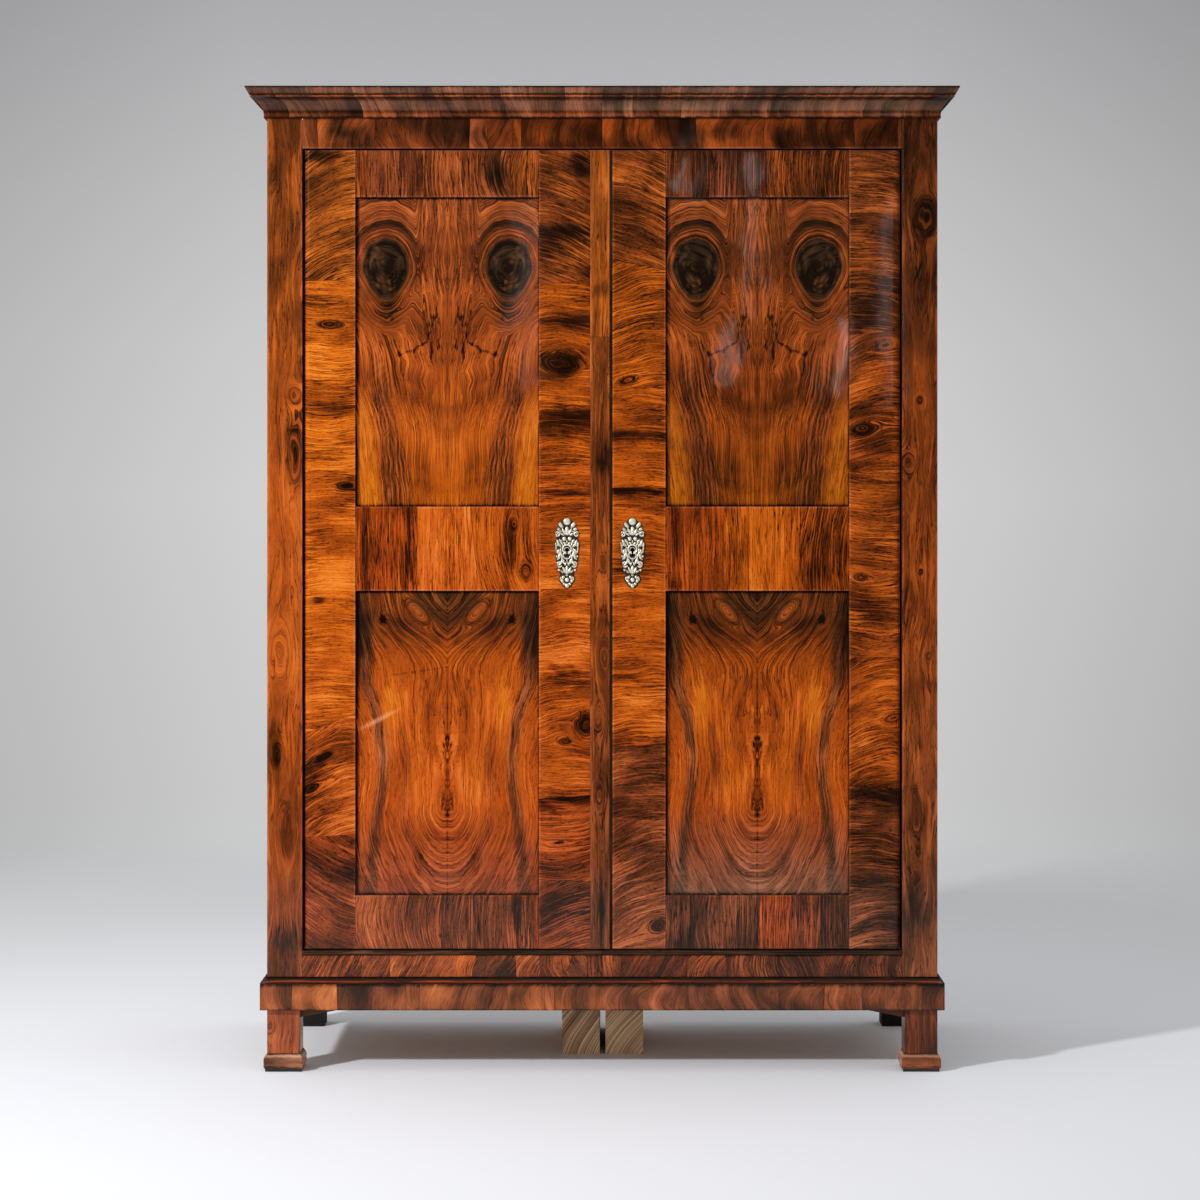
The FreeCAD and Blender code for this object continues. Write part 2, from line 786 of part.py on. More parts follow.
left_side, left_seam = -side_face, -partition_side
shelf_solids = [shelf(z, left_side, left_seam) for z in shelf_heights()]
shelf_solids.append(shelf(hat_shelf_height, partition_side, side_face))
save("shelves", *shelf_solids)
batten_solids = [mirrored(piece) for z in shelf_heights() for piece in bearers(z)]
batten_solids += list(bearers(hat_shelf_height))
save("shelf_bearers", *batten_solids)
save("hanging_rail", hanging_rail())
save("rail_sockets", *rail_sockets())
save("joining_bolts", *joining_bolts())

for side, place, edge, keyhole_x in (
    ("left_", mirrored, left_door_edge, left_keyhole_from_seam),
    ("right_", lambda shape: shape, right_door_edge, right_keyhole_from_seam),
):
    door = side + "door_"
    closing = inner_stile(edge, keyhole_x)
    if side == "left_":
        closing = closing.cut(strip_rebate())
        save(door + "closing_strip", place(closing_strip()))
    save(door + "inner_stile", place(closing))
    save(door + "outer_stile", place(outer_stile()))
    for name, z0, z1, below, above in door_rails():
        save(door + name, place(door_rail(z0, z1, below, above)))
    save(door + "lower_panel", place(door_panel(lower_panel_bottom, lower_panel_top)))
    save(door + "upper_panel", place(door_panel(upper_panel_bottom, upper_panel_top)))
    save(door + "hinge_plates", place(door_hinge(door_bottom, 1)), place(door_hinge(door_top, -1)))
    save(door + "lock_case", place(lock_case(keyhole_x)))
    save(door + "escutcheon", place(escutcheon(keyhole_x)))
    save(side + "lock_bolt", place(lock_bolt()))
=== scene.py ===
import math

import bpy
import numpy as np
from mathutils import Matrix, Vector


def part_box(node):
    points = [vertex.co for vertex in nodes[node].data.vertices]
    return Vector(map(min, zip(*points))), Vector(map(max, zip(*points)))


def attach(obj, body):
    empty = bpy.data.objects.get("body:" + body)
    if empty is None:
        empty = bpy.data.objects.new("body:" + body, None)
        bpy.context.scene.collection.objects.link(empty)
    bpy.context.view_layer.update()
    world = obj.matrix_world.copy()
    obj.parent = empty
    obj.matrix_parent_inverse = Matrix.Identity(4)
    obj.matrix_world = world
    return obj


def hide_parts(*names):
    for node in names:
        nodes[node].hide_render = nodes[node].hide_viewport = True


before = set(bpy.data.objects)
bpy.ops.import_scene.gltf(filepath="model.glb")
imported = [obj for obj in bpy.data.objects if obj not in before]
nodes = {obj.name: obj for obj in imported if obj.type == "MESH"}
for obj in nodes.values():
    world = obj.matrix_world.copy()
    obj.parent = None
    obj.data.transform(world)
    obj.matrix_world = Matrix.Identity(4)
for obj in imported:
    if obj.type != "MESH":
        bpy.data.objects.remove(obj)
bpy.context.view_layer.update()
mm = 0.001
print("frame loaded:", len(nodes), "nodes")


# colour and node helpers

def linear(code):
    # sRGB hex to linear: c / 12.92 near black, else ((c + 0.055) / 1.055) to the power 2.4
    parts = [int(code[i:i + 2], 16) / 255 for i in (0, 2, 4)]
    return tuple(c / 12.92 if c <= 0.04045 else ((c + 0.055) / 1.055) ** 2.4 for c in parts) + (1.0,)


def addNode(tree, kind, inputs=(), out=0, **settings):
    # inputs are the sockets' values in order, or by name: a socket is linked, anything else is set on the
    # node's own socket; gives back the output asked for, or the node itself where out is None
    node = tree.nodes.new("ShaderNode" + kind)
    for key, value in settings.items():
        setattr(node, key, value)
    for key, value in inputs.items() if isinstance(inputs, dict) else enumerate(inputs):
        if isinstance(value, bpy.types.NodeSocket):
            tree.links.new(value, node.inputs[key])
        else:
            node.inputs[key].default_value = value
    return node if out is None else node.outputs[out]


def newMaterial(name):
    material = bpy.data.materials.new(name)
    material.use_nodes = True
    material.node_tree.nodes.clear()
    return material, material.node_tree


def finish(material, inputs, kind="BsdfPrincipled", output="OutputMaterial"):
    # the last shader of a material or world, and its output
    shader = addNode(material.node_tree, kind, inputs)
    addNode(material.node_tree, output, {"Surface": shader}, out=None)
    return material


def addRamp(tree, value, stops):
    # stops are (place, hex) pairs
    node = addNode(tree, "ValToRGB", (value,), out=None)
    elements = node.color_ramp.elements
    while len(elements) < len(stops):
        elements.new(0.5)
    for element, (place, code) in zip(elements, stops):
        element.position = place
        element.color = linear(code)
    return node.outputs["Color"]


# walnut veneer under french polish
# Figured walnut cut into thin leaves, glued crosswise or mirrored, then rubbed with shellac: a warm
# ground with brown rings and near-black streaks, short open pores, patches of painted silky sheen that
# come and go, and a thin hard film with a soft ripple over it.

veneer = {
    "broadWidth": 66.0,     # mm, the slow change from pale to dark wood across the grain
    "broadLength": 150.0,
    "bandWidth": 24.0,      # mm from one broad ring to the next, across the grain
    "bandLength": 420.0,
    "lineWidth": 4.6,       # mm, the yearly lines between the rings
    "lineLength": 110.0,
    "streakWidth": 15.0,    # mm between the thin dark streaks
    "streakLength": 460.0,
    "fibreWidth": 1.7,      # real fibres are 0.2 mm, drawn at 1.7 mm so that they show
    "fibreLength": 28.0,
    "poreWidth": 1.3,       # real pores are 0.2 mm wide, drawn at 1.3 mm so that they show
    "poreLength": 9.0,
    "silkSize": 80.0,       # mm, the patches of painted sheen
    "rippleSize": 120.0,    # mm, the slow waves in the polish
    "gold": [(0.0, "120803"), (0.2, "371d06"), (0.4, "6c3a09"), (0.6, "a85c0c"), (0.8, "ce7a15"),
             (1.0, "e09029")],
    "warm": [(0.0, "120602"), (0.2, "361505"), (0.4, "6c2d09"), (0.6, "a84a0b"), (0.8, "cc6312"),
             (1.0, "de7d26")],
    "ruddy": [(0.0, "140503"), (0.2, "3e1207"), (0.4, "76280c"), (0.6, "a83e11"), (0.8, "c65423"),
              (1.0, "da7042")],
    "dusky": [(0.0, "120d0a"), (0.2, "2f231a"), (0.4, "573c2b"), (0.6, "7d5844"), (0.8, "a0765c"),
              (1.0, "bc9474")],
}


def walnutVeneer(name, shares):
    material, tree = newMaterial(name)
    figure = addNode(tree, "Attribute", out="Vector", attribute_name="figure")
    tone = addNode(tree, "Attribute", out=None, attribute_name="tone").outputs
    light, redness, dusk = addNode(tree, "SeparateColor", {"Color": tone["Color"]}, out=None).outputs
    place = addNode(tree, "TexCoord", out="Object")

    def grain(key, shift, detail, roughness=0.5, spread=1.0):
        # noise drawn out along the grain: the figure's millimetres over the pattern's width and length
        across, along = 1 / (veneer[key + "Width"] * spread), 1 / veneer[key + "Length"]
        stretched = addNode(tree, "VectorMath", (figure, (across, along, 1.0)), operation="MULTIPLY")
        moved = addNode(tree, "VectorMath", (stretched, (shift, shift, shift)))
        return addNode(tree, "TexNoise",
                       {"Vector": moved, "Scale": 1.0, "Detail": detail, "Roughness": roughness})

    def crossing(field, half):
        # a thin line where the field crosses its middle value: 1 there, 0 from half off it
        above = addNode(tree, "MapRange", (field, 0.5 - half, 0.5), interpolation_type="SMOOTHSTEP")
        below = addNode(tree, "MapRange", (field, 0.5, 0.5 + half, 1.0, 0.0), interpolation_type="SMOOTHSTEP")
        return addNode(tree, "Math", (above, below), operation="MULTIPLY")

    broad = grain("broad", 23.0, 2.0)
    bands = grain("band", 0.0, 3.0, 0.6)
    lineField = grain("line", 4.7, 2.0, 0.55, shares["spread"])
    lines = addNode(tree, "MapRange", (lineField, 0.36, 0.64))
    fibres = grain("fibre", 3.7, 2.0, 0.65)
    pores = addNode(tree, "MapRange", (grain("pore", 7.9, 1.0), 0.56, 0.68))
    hair = crossing(lineField, 0.04 / shares["spread"])
    # the streaks come and go along their way
    gate = addNode(tree, "MapRange", (grain("band", 19.1, 1.0), 0.46, 0.60))
    streak = addNode(tree, "Math", (crossing(grain("streak", 11.3, 1.5), 0.025), gate), operation="MULTIPLY")
    lot = addNode(tree, "VectorMath", (figure, (0.0, 0.0, 3.1)), operation="MULTIPLY")
    sheenPlace = addNode(tree, "VectorMath", (place, lot))
    silk = addNode(tree, "TexNoise",
                   {"Vector": sheenPlace, "Scale": 1000.0 / veneer["silkSize"], "Detail": 2.0})
    # lines and hairlines come and go with the painted sheen
    drawn = addNode(tree, "MapRange", (silk, 0.35, 0.65, 0.45, 1.55))
    centred = addNode(tree, "Math", (lines, 1.0, -0.5), operation="MULTIPLY_ADD")
    centred, hair = (addNode(tree, "Math", (part, drawn), operation="MULTIPLY") for part in (centred, hair))
    inkShare = addNode(tree, "MapRange", (lines, 0.0, 1.0, 0.95, 0.35))
    ink = addNode(tree, "Math", (tone["Alpha"], inkShare), operation="MULTIPLY")

    # value = light + the shares of broad, bands, lines, fibres and painted sheen - hairlines - streaks -
    # pores - ink
    value = light
    for part, share in ((broad, shares["broad"]), (bands, shares["band"]), (centred, shares["line"]),
                        (hair, -shares["hair"]), (fibres, shares["fibre"]), (silk, shares["silk"]),
                        (streak, -shares["streak"]), (pores, -shares["pore"]), (ink, -1.0)):
        value = addNode(tree, "Math", (part, share, value), operation="MULTIPLY_ADD")
    # contrast about the middle value: 0.5 + contrast (value - middle - 0.5) - depth
    middle = 0.5 * (shares["broad"] + shares["band"] + shares["fibre"]
                    + shares["silk"]) - 0.4 * shares["hair"] - 0.02
    contrast = shares["contrast"]
    value = addNode(tree, "Math", (value, contrast, 0.5 - contrast * (middle + 0.5) - shares["depth"]),
                    operation="MULTIPLY_ADD", use_clamp=True)

    # redness 0 is gold, 0.4 orange, 1 red; dusk turns any of them to a greyed brown
    colour, *others = (addRamp(tree, value, veneer[key]) for key in ("gold", "warm", "ruddy", "dusky"))
    steps = (addNode(tree, "MapRange", (redness, 0.0, 0.4)), addNode(tree, "MapRange", (redness, 0.4, 1.0)),
             dusk)
    for share, other in zip(steps, others):
        colour = addNode(tree, "Mix", {0: share, 6: colour, 7: other}, out=2, data_type="RGBA")

    ripple = addNode(tree, "TexNoise",
                     {"Vector": place, "Scale": 1000.0 / veneer["rippleSize"], "Detail": 1.5})
    rippleBump = addNode(tree, "Bump", {"Height": ripple, "Strength": 1.0, "Distance": 0.0007})
    relief = addNode(tree, "Math", (pores, -1.0, fibres), operation="MULTIPLY_ADD")
    grainBump = addNode(tree, "Bump",
                        {"Height": relief, "Strength": 0.25, "Distance": 0.0002, "Normal": rippleBump})
    rubbed = addNode(tree, "TexNoise", {"Vector": place, "Scale": 22.0, "Detail": 3.0})
    return finish(material, {
        "Base Color": colour, "Roughness": addNode(tree, "MapRange", (rubbed, 0.3, 0.7, 0.26, 0.40)),
        "IOR": 1.45,
        "Normal": grainBump, "Specular IOR Level": 0.22, "Specular Tint": linear("e8a060"),
        "Coat Weight": 0.35, "Coat Roughness": 0.05, "Coat IOR": 1.5, "Coat Normal": rippleBump})


veneerWalnut = walnutVeneer("walnut veneer, cross grained, french polished", {
    "spread": 0.8, "contrast": 1.28, "depth": 0.02,
    "broad": 0.88, "band": 0.20, "line": 0.15, "hair": 0.24, "fibre": 0.27, "silk": 0.22, "streak": 0.10,
    "pore": 0.18})
plainWalnut = walnutVeneer("walnut veneer, plain, french polished", {
    "spread": 1.3, "contrast": 1.15, "depth": 0.03,
    "broad": 0.42, "band": 0.36, "line": 0.12, "hair": 0.18, "fibre": 0.24, "silk": 0.26, "streak": 0.14,
    "pore": 0.05})
railWalnut = walnutVeneer("walnut veneer, straight grained, french polished", {
    "spread": 0.7, "contrast": 1.2, "depth": 0.02,
    "broad": 0.56, "band": 0.26, "line": 0.13, "hair": 0.30, "fibre": 0.20, "silk": 0.30, "streak": 0.16,
    "pore": 0.14})
sideWalnut = walnutVeneer("walnut veneer, long grained, french polished", {
    "spread": 1.6, "contrast": 1.1, "depth": 0.03,
    "broad": 0.22, "band": 0.62, "line": 0.16, "hair": 0.14, "fibre": 0.26, "silk": 0.20, "streak": 0.16,
    "pore": 0.06})
burrWalnut = walnutVeneer("walnut veneer, short grained, french polished", {
    "spread": 1.4, "contrast": 1.12, "depth": 0.03,
    "broad": 0.90, "band": 0.46, "line": 0.05, "hair": 0.07, "fibre": 0.26, "silk": 0.62, "streak": 0.12,
    "pore": 0.08})
crotchWalnut = walnutVeneer("walnut crotch veneer, french polished", {
    "spread": 0.75, "contrast": 1.2, "depth": 0.03,
    "broad": 0.16, "band": 0.18, "line": 0.12, "hair": 0.19, "fibre": 0.29, "silk": 0.26, "streak": 0.20,
    "pore": 0.12})


# plain boards, on object coordinates
# Sawn and planed boards: rings stretched along the grain, fine fibres, and in pine small round knots.

def boardWood(name, look):
    material, tree = newMaterial(name)
    place = addNode(tree, "TexCoord", out="Object")
    if "plank" in look:
        # each upright plank is cut from another place: its number moves the pattern
        sideways = addNode(tree, "SeparateXYZ", (place,))
        number = addNode(tree, "Math", (sideways, 1000.0 / look["plank"]), operation="MULTIPLY")
        number = addNode(tree, "Math", (number,), operation="FLOOR")
        shift = addNode(tree, "CombineXYZ", (number, number, number))
        place = addNode(tree, "VectorMath", (shift, (0.083, 0.031, 0.71), place), operation="MULTIPLY_ADD")
    across, along = 1000.0 / look["ringWidth"], 1000.0 / look["ringLength"]
    axis = {"x": (1, 0, 0), "y": (0, 1, 0), "z": (0, 0, 1)}[look["grain"]]
    mask = tuple(1 - v for v in axis)
    # rings: noise over (distance from a pith line outside the board, place along the grain)
    fromPith = addNode(tree, "VectorMath", (place, look["pith"]), operation="SUBTRACT")
    flat = addNode(tree, "VectorMath", (fromPith, mask), operation="MULTIPLY")
    distance = addNode(tree, "VectorMath", (flat,), operation="LENGTH", out="Value")
    lengthwise = addNode(tree, "VectorMath", (place, axis), operation="DOT_PRODUCT", out="Value")
    waves = addNode(tree, "Mapping", {"Vector": place, "Scale": tuple(1.1 if v else 7.0 for v in axis)})
    wobble = addNode(tree, "TexNoise", {"Vector": waves, "Scale": 1.0, "Detail": 1.5})
    count = addNode(tree, "Math", (wobble, look["wobble"] * mm, distance), operation="MULTIPLY_ADD")
    count = addNode(tree, "Math", (count, across), operation="MULTIPLY")
    lengthwise = addNode(tree, "Math", (lengthwise, along), operation="MULTIPLY")
    ringPlace = addNode(tree, "CombineXYZ", (count, lengthwise))
    rings = addNode(tree, "TexNoise", {
        "Vector": ringPlace, "Scale": 1.0, "Detail": 3.0, "Roughness": 0.6, "Distortion": 0.2})
    fine = tuple(4.0 * along if v else 9.0 * across for v in axis)
    fibrePlace = addNode(tree, "Mapping", {"Vector": place, "Scale": fine})
    fibres = addNode(tree, "TexNoise", {"Vector": fibrePlace, "Scale": 1.0, "Detail": 2.0})
    grime = addNode(tree, "TexNoise", {"Vector": place, "Scale": 4.0, "Detail": 3.0})
    value = addNode(tree, "Math", (fibres, 0.35, -0.17), operation="MULTIPLY_ADD")
    value = addNode(tree, "Math", (rings, value))
    grimeShare = addNode(tree, "Math", (grime, 0.5, -0.25), operation="MULTIPLY_ADD")
    value = addNode(tree, "Math", (value, grimeShare))
    if look["knots"]:
        # one knot where the nearest scattered point is near: points lie knotSpacing apart
        knotScale = tuple(1000.0 / look["knotSpacing"] * (0.35 if v else 1.0) for v in axis)
        knotPlace = addNode(tree, "Mapping", {"Vector": place, "Scale": knotScale})
        cells = addNode(tree, "TexVoronoi", {"Vector": knotPlace, "Scale": 1.0})
        knot = addNode(tree, "MapRange", (cells, 0.05, 0.11, look["knots"], 0.0),
                       interpolation_type="SMOOTHSTEP")
        value = addNode(tree, "Math", (value, knot), operation="SUBTRACT")
    bump = addNode(tree, "Bump", {"Height": value, "Strength": look["bump"], "Distance": 0.0008})
    return finish(material, {
        "Base Color": addRamp(tree, value, look["stops"]), "IOR": 1.45, "Normal": bump,
        "Roughness": addNode(tree, "MapRange", (rings, 0.0, 1.0, *look["rough"])),
        "Coat Weight": look["coat"], "Coat Roughness": 0.15})


pineLook = {
    "pith": (0.31, 0.77, 0.21), "wobble": 40.0,
    "ringWidth": 9.0, "ringLength": 320.0, "knots": 0.45, "knotSpacing": 150.0, "rough": (0.75, 0.6),
    "bump": 0.35, "coat": 0.0,
    "stops": [(0.0, "3d2010"), (0.3, "7d4e27"), (0.5, "a5713f"), (0.7, "bf8c55"), (1.0, "d6ab78")],
}
walnutLook = {
    "pith": (0.31, 0.77, 0.21), "wobble": 30.0,
    "ringWidth": 6.0, "ringLength": 260.0, "knots": 0.0, "knotSpacing": 1.0, "rough": (0.45, 0.3),
    "bump": 0.2, "coat": 0.3,
    "stops": [(0.0, "1c0d06"), (0.3, "3f1f0e"), (0.5, "653416"), (0.7, "854a20"), (1.0, "a8672f")],
}
oakLook = {
    "pith": (0.30, 0.0, -0.16), "wobble": 26.0,
    "ringWidth": 2.4, "ringLength": 120.0, "knots": 0.0, "knotSpacing": 1.0, "rough": (0.9, 0.75),
    "bump": 0.9, "coat": 0.0,
    "stops": [(0.24, "1f130b"), (0.40, "735437"), (0.51, "b18a65"), (0.60, "dcb48c"), (0.74, "f6d8b2")],
}
pineUpright = boardWood("pine boards, upright, oiled", {**pineLook, "grain": "z"})
pineAcross = boardWood("pine boards, across, oiled", {**pineLook, "grain": "x"})
pineDeep = boardWood("pine battens, front to back", {**pineLook, "grain": "y", "knots": 0.0})
backPine = boardWood("pine back planks, darkened by age", {
    **pineLook, "grain": "z", "plank": 166.0, "rough": (0.9, 0.75),
    "stops": [(0.0, "24150c"), (0.3, "4a2f1b"), (0.5, "6d4a2c"), (0.7, "86613d"), (1.0, "a17c54")]})
stainedLook = {**pineLook, "knots": 0.0, "rough": (0.8, 0.65),
               "stops": [(0.0, "1c0f08"), (0.3, "38200f"), (0.5, "553319"), (0.7, "6d4322"), (1.0, "855830")]}
stainedPine = boardWood("pine, stained brown, across", {**stainedLook, "grain": "x"})
stainedPineDeep = boardWood("pine, stained brown, front to back", {**stainedLook, "grain": "y"})
walnutUpright = boardWood("walnut, solid, upright, polished", {**walnutLook, "grain": "z"})
walnutAcross = boardWood("walnut, solid, across, polished", {**walnutLook, "grain": "x"})
oakBlock = boardWood("oak, rough sawn, bare", {**oakLook, "grain": "y"})
# the rear feet stand deep under the piece: their near black colour is painted shade
shadeDarkFoot = boardWood("softwood, stained dark", {
    **oakLook, "grain": "z",
    "stops": [(0.0, "030202"), (0.35, "080604"), (0.55, "0e0a07"), (0.75, "150e0a"), (1.0, "1e150e")]})
ebonised = boardWood("beech, ebonised", {
    **walnutLook, "grain": "x",
    "stops": [(0.0, "080504"), (0.3, "110b08"), (0.5, "1c120c"), (0.7, "2a1b12"), (1.0, "3a281b")]})
print("wood materials ready")


# metals

def agedMetal(name, look):
    # bare metal with a film of oxide: the film gathers in patches and darkens and roughens the metal
    material, tree = newMaterial(name)
    place = addNode(tree, "TexCoord", out="Object")
    patches = addNode(tree, "TexNoise", {
        "Vector": place, "Scale": 1000.0 / look["patch"], "Detail": 5.0, "Roughness": 0.65})
    film = addNode(tree, "MapRange", (patches, 0.4, 0.65))
    marks = addNode(tree, "Mapping", {"Vector": place, "Scale": (120.0, 120.0, 2600.0)})
    filed = addNode(tree, "TexNoise", {"Vector": marks, "Scale": 1.0, "Detail": 2.0})
    return finish(material, {
        "Base Color": addNode(tree, "Mix", {0: film, 6: linear(look["bright"]), 7: linear(look["film"])},
                              out=2, data_type="RGBA"),
        "Metallic": 1.0, "Roughness": addNode(tree, "MapRange", (film, 0.0, 1.0, *look["rough"])),
        "Normal": addNode(tree, "Bump", {"Height": filed, "Strength": 0.3, "Distance": 0.0002})})


lockSteel = agedMetal("steel, filed",
                      {"patch": 9.0, "bright": "a9a49b", "film": "5d554a", "rough": (0.32, 0.55)})
hingeIron = agedMetal("iron, forged",
                      {"patch": 6.0, "bright": "6a635a", "film": "30271f", "rough": (0.45, 0.7)})


def silveredBrass(name):
    # cast brass with a thin silver wash: bright and warm on the ridges, brown-black dirt in the hollows
    material, tree = newMaterial(name)
    relief = addNode(tree, "Attribute", out="Fac", attribute_name="relief")
    place = addNode(tree, "TexCoord", out="Object")
    wearAndSheen = addNode(tree, "TexNoise", {"Vector": place, "Scale": 420.0, "Detail": 4.0})
    height = addNode(tree, "Math", (wearAndSheen, 0.5, relief), operation="MULTIPLY_ADD")
    height = addNode(tree, "Math", (height, 0.25), operation="SUBTRACT")
    stops = [(0.0, "090704"), (0.36, "211b12"), (0.52, "7c7359"), (0.66, "dad3ba"), (1.0, "fffcf0")]
    return finish(material, {
        "Base Color": addRamp(tree, height, stops),
        "Metallic": addNode(tree, "MapRange", (height, 0.2, 0.5, 0.1, 0.45)),
        "Roughness": addNode(tree, "MapRange", (height, 0.2, 0.7, 0.65, 0.3)),
        "Normal": addNode(tree, "Bump", {"Height": wearAndSheen, "Strength": 0.25, "Distance": 0.0003})})


plateBrass = silveredBrass("brass, cast and silvered")
print("metal materials ready")


# outlines and sweeps

def cadBox(node):
    low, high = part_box(node)
    return [round(v * 1000, 2) for v in (low.x, high.x, low.y, high.y, low.z, high.z)]


def smooth(value, start, end):
    # 0 before start, 1 after end, 3t^2 - 2t^3 between
    t = np.clip((value - start) / (end - start), 0, 1)
    return t * t * (3 - 2 * t)


def hill(off, wide, offHigh=0, high=1):
    # 1 in the middle, exp(-(off / wide)^2 - (offHigh / high)^2) around it
    return np.exp(-((off / wide) ** 2 + (offHigh / high) ** 2))


def sectionOutline(corners):
    # closed outline from (across, depth, radius, step, shown) corners: each corner turns into an arc of
    # its radius, each run to the next corner is cut into steps, and shown marks runs that carry veneer
    points, seen, arcs = [], [], []
    flat = np.array([corner[:2] for corner in corners], float)
    count = len(corners)
    for i in range(count):
        at, radius = flat[i], corners[i][2]
        if radius <= 0:
            arcs.append(at[None])
            continue
        a, b = flat[i - 1] - at, flat[(i + 1) % count] - at
        a, b = a / np.linalg.norm(a), b / np.linalg.norm(b)
        half = math.acos(np.clip(a @ b, -1, 1)) / 2
        middle = at + (a + b) / np.linalg.norm(a + b) * radius / math.sin(half)
        start, end = at + a * radius / math.tan(half), at + b * radius / math.tan(half)
        share = np.linspace(0, 1, 3 if radius < 1 else 5 if radius < 6 else 9)[:, None]
        chord = (start - middle) * (1 - share) + (end - middle) * share
        arcs.append(middle + chord / np.linalg.norm(chord, axis=1, keepdims=True) * radius)
    for i, (_, _, _, step, shown) in enumerate(corners):
        here, there = arcs[i], arcs[(i + 1) % count]
        pieces = max(1, int(round(np.linalg.norm(there[0] - here[-1]) / step)))
        run = here[-1] + (there[0] - here[-1]) * np.linspace(0, 1, pieces + 1)[1:-1, None]
        points += [here, run]
        seen += [np.full(len(here) - 1, shown or corners[i - 1][4]), np.full(len(run) + 1, shown)]
    return np.concatenate(points), np.concatenate(seen)


def inset(outline, amount):
    # every point moved inwards, square to the line through its two neighbours
    ahead, behind = np.roll(outline, -1, axis=0), np.roll(outline, 1, axis=0)
    run = ahead - behind
    normal = np.stack([-run[:, 1], run[:, 0]], axis=1) / np.linalg.norm(run, axis=1, keepdims=True)
    area = np.sum(outline[:, 0] * ahead[:, 1] - ahead[:, 0] * outline[:, 1]) / 2
    return outline + normal * amount * (1 if area > 0 else -1)


def drift(h, v, seed, longH, longV):
    # slow wandering between -1 and 1: six sines with seeded directions, lengths and phases
    rng = np.random.default_rng(seed)
    total = np.zeros(np.shape(h))
    for turn, phase, pace in rng.uniform((0, 0, 0.55), (2 * np.pi, 2 * np.pi, 1.5), (6, 3)):
        total += np.sin(2 * np.pi * pace * (math.cos(turn) * h / longH + math.sin(turn) * v / longV) + phase)
    return total / 3.4


def jointLines(look, share):
    # a joint is a straight line from its place on the low edge to its place on the high edge
    joints = np.array(look.get("joints", []), float).reshape(-1, 2)
    return joints[:, :1] + (joints[:, 1:] - joints[:, :1]) * share[None]


def stationPlaces(look, start, end, step):
    # places along the low and the high edge that pass exactly through each joint and close beside it
    beside = 0.9    # mm
    stops = [(start, start)] + look.get("joints", []) + [(end, end)]
    low, high = [], []
    for (a, b), (c, d) in zip(stops, stops[1:]):
        pieces = max(2, int(math.ceil(max(c - a, d - b) / step)))
        low += [[a], np.linspace(a + beside, c - beside, pieces)]
        high += [[b], np.linspace(b + beside, d - beside, pieces)]
    return np.concatenate(low + [[end]]), np.concatenate(high + [[end]])


def toneOf(light, red, dusk, ink):
    # red runs from -0.67, gold, over 0, orange, to 1, red, and is kept as 0.4 + 0.6 red
    return np.clip(np.stack([light, 0.4 + 0.6 * red, dusk, ink], axis=1), 0, 1)


def walnutFigure(look, h, v, share, length, patch):
    # across the grain = distance off a line at the patch's angle + a bow + slow waves, parted by knots;
    # tone = light, red and dusk from the patch, the place along the piece, soft clouds and a painted
    # highlight along the arrises; ink = dark wood, and painted shade at the very edges
    angle, bow, light, red, dusk = np.array(look["patches"], float)[patch].T.copy()
    cos, sin = np.cos(np.radians(angle)), np.sin(np.radians(angle))
    seed, (wide, high) = look["seed"], look["waveSize"]
    shifted = h + 997.0 * patch     # each patch has waves of its own
    wander, ripple = drift(shifted, v, seed, wide, high), drift(shifted, v, seed + 1, wide * 0.3, high * 0.3)
    along = h * cos + v * sin
    across = -h * sin + v * cos + bow * (2 * share - 1) ** 2 + look["wave"] * (wander + 0.10 * ripple)
    ink = np.zeros(len(h))
    for x, z, wide, long, depth in look.get("knots", []):
        a = -(h - x) * sin + (v - z) * cos + 0.12 * wide * ripple
        b = (h - x) * cos + (v - z) * sin
        r = np.sqrt((a / wide) ** 2 + (b / long) ** 2) + 1e-3
        same = patch == patch[np.argmin((h - x) ** 2 + (v - z) ** 2)]
        across += same * (-a / np.maximum(r, 1) ** 2 + 1.2 * wide * np.clip(1 - r, 0, 1))
        ink += same * depth * np.exp(-(r / 0.9) ** 3) * (0.85 + 0.15 * np.cos(9 * r))
        light += same * 0.05 * hill(r - 1.35, 0.28)
    for x, z, wide, high, *changes in look.get("clouds", []):
        near = ((h - x + 0.3 * wide * wander) / wide) ** 2 + ((v - z + 0.3 * high * ripple) / high) ** 2
        amount = np.exp(-near ** 1.3)
        for part, change in zip((light, ink, red, dusk), changes):
            part += change * amount
    # a painted highlight along each arris, where the rounded edge would catch the light, and a painted shade
    # line at the very edge
    offEdge = np.minimum(share, 1 - share) * look.get("across", 1e3)
    wearAndSheen = hill(offEdge - 1.2, 1.0) * (0.75 + 0.25 * wander)
    ink += 0.35 * hill(offEdge + 0.4, 0.9)
    tones = np.array(look.get("tones", [(0, 0, 0, 0)]), float)
    for part, change, column in ((light, 0.15, 1), (dusk, 0.25, 3), (red, 0.1, 2)):
        part += change * wearAndSheen
        part += np.interp(length, tones[:, 0], tones[:, column])
    ink += 0.28 * np.any(np.abs(length - jointLines(look, share)) < 0.5, axis=0)
    figure = np.stack([across, along, seed * 0.731 + 1.37 * patch], axis=1)
    return figure, toneOf(light, red, dusk, ink)


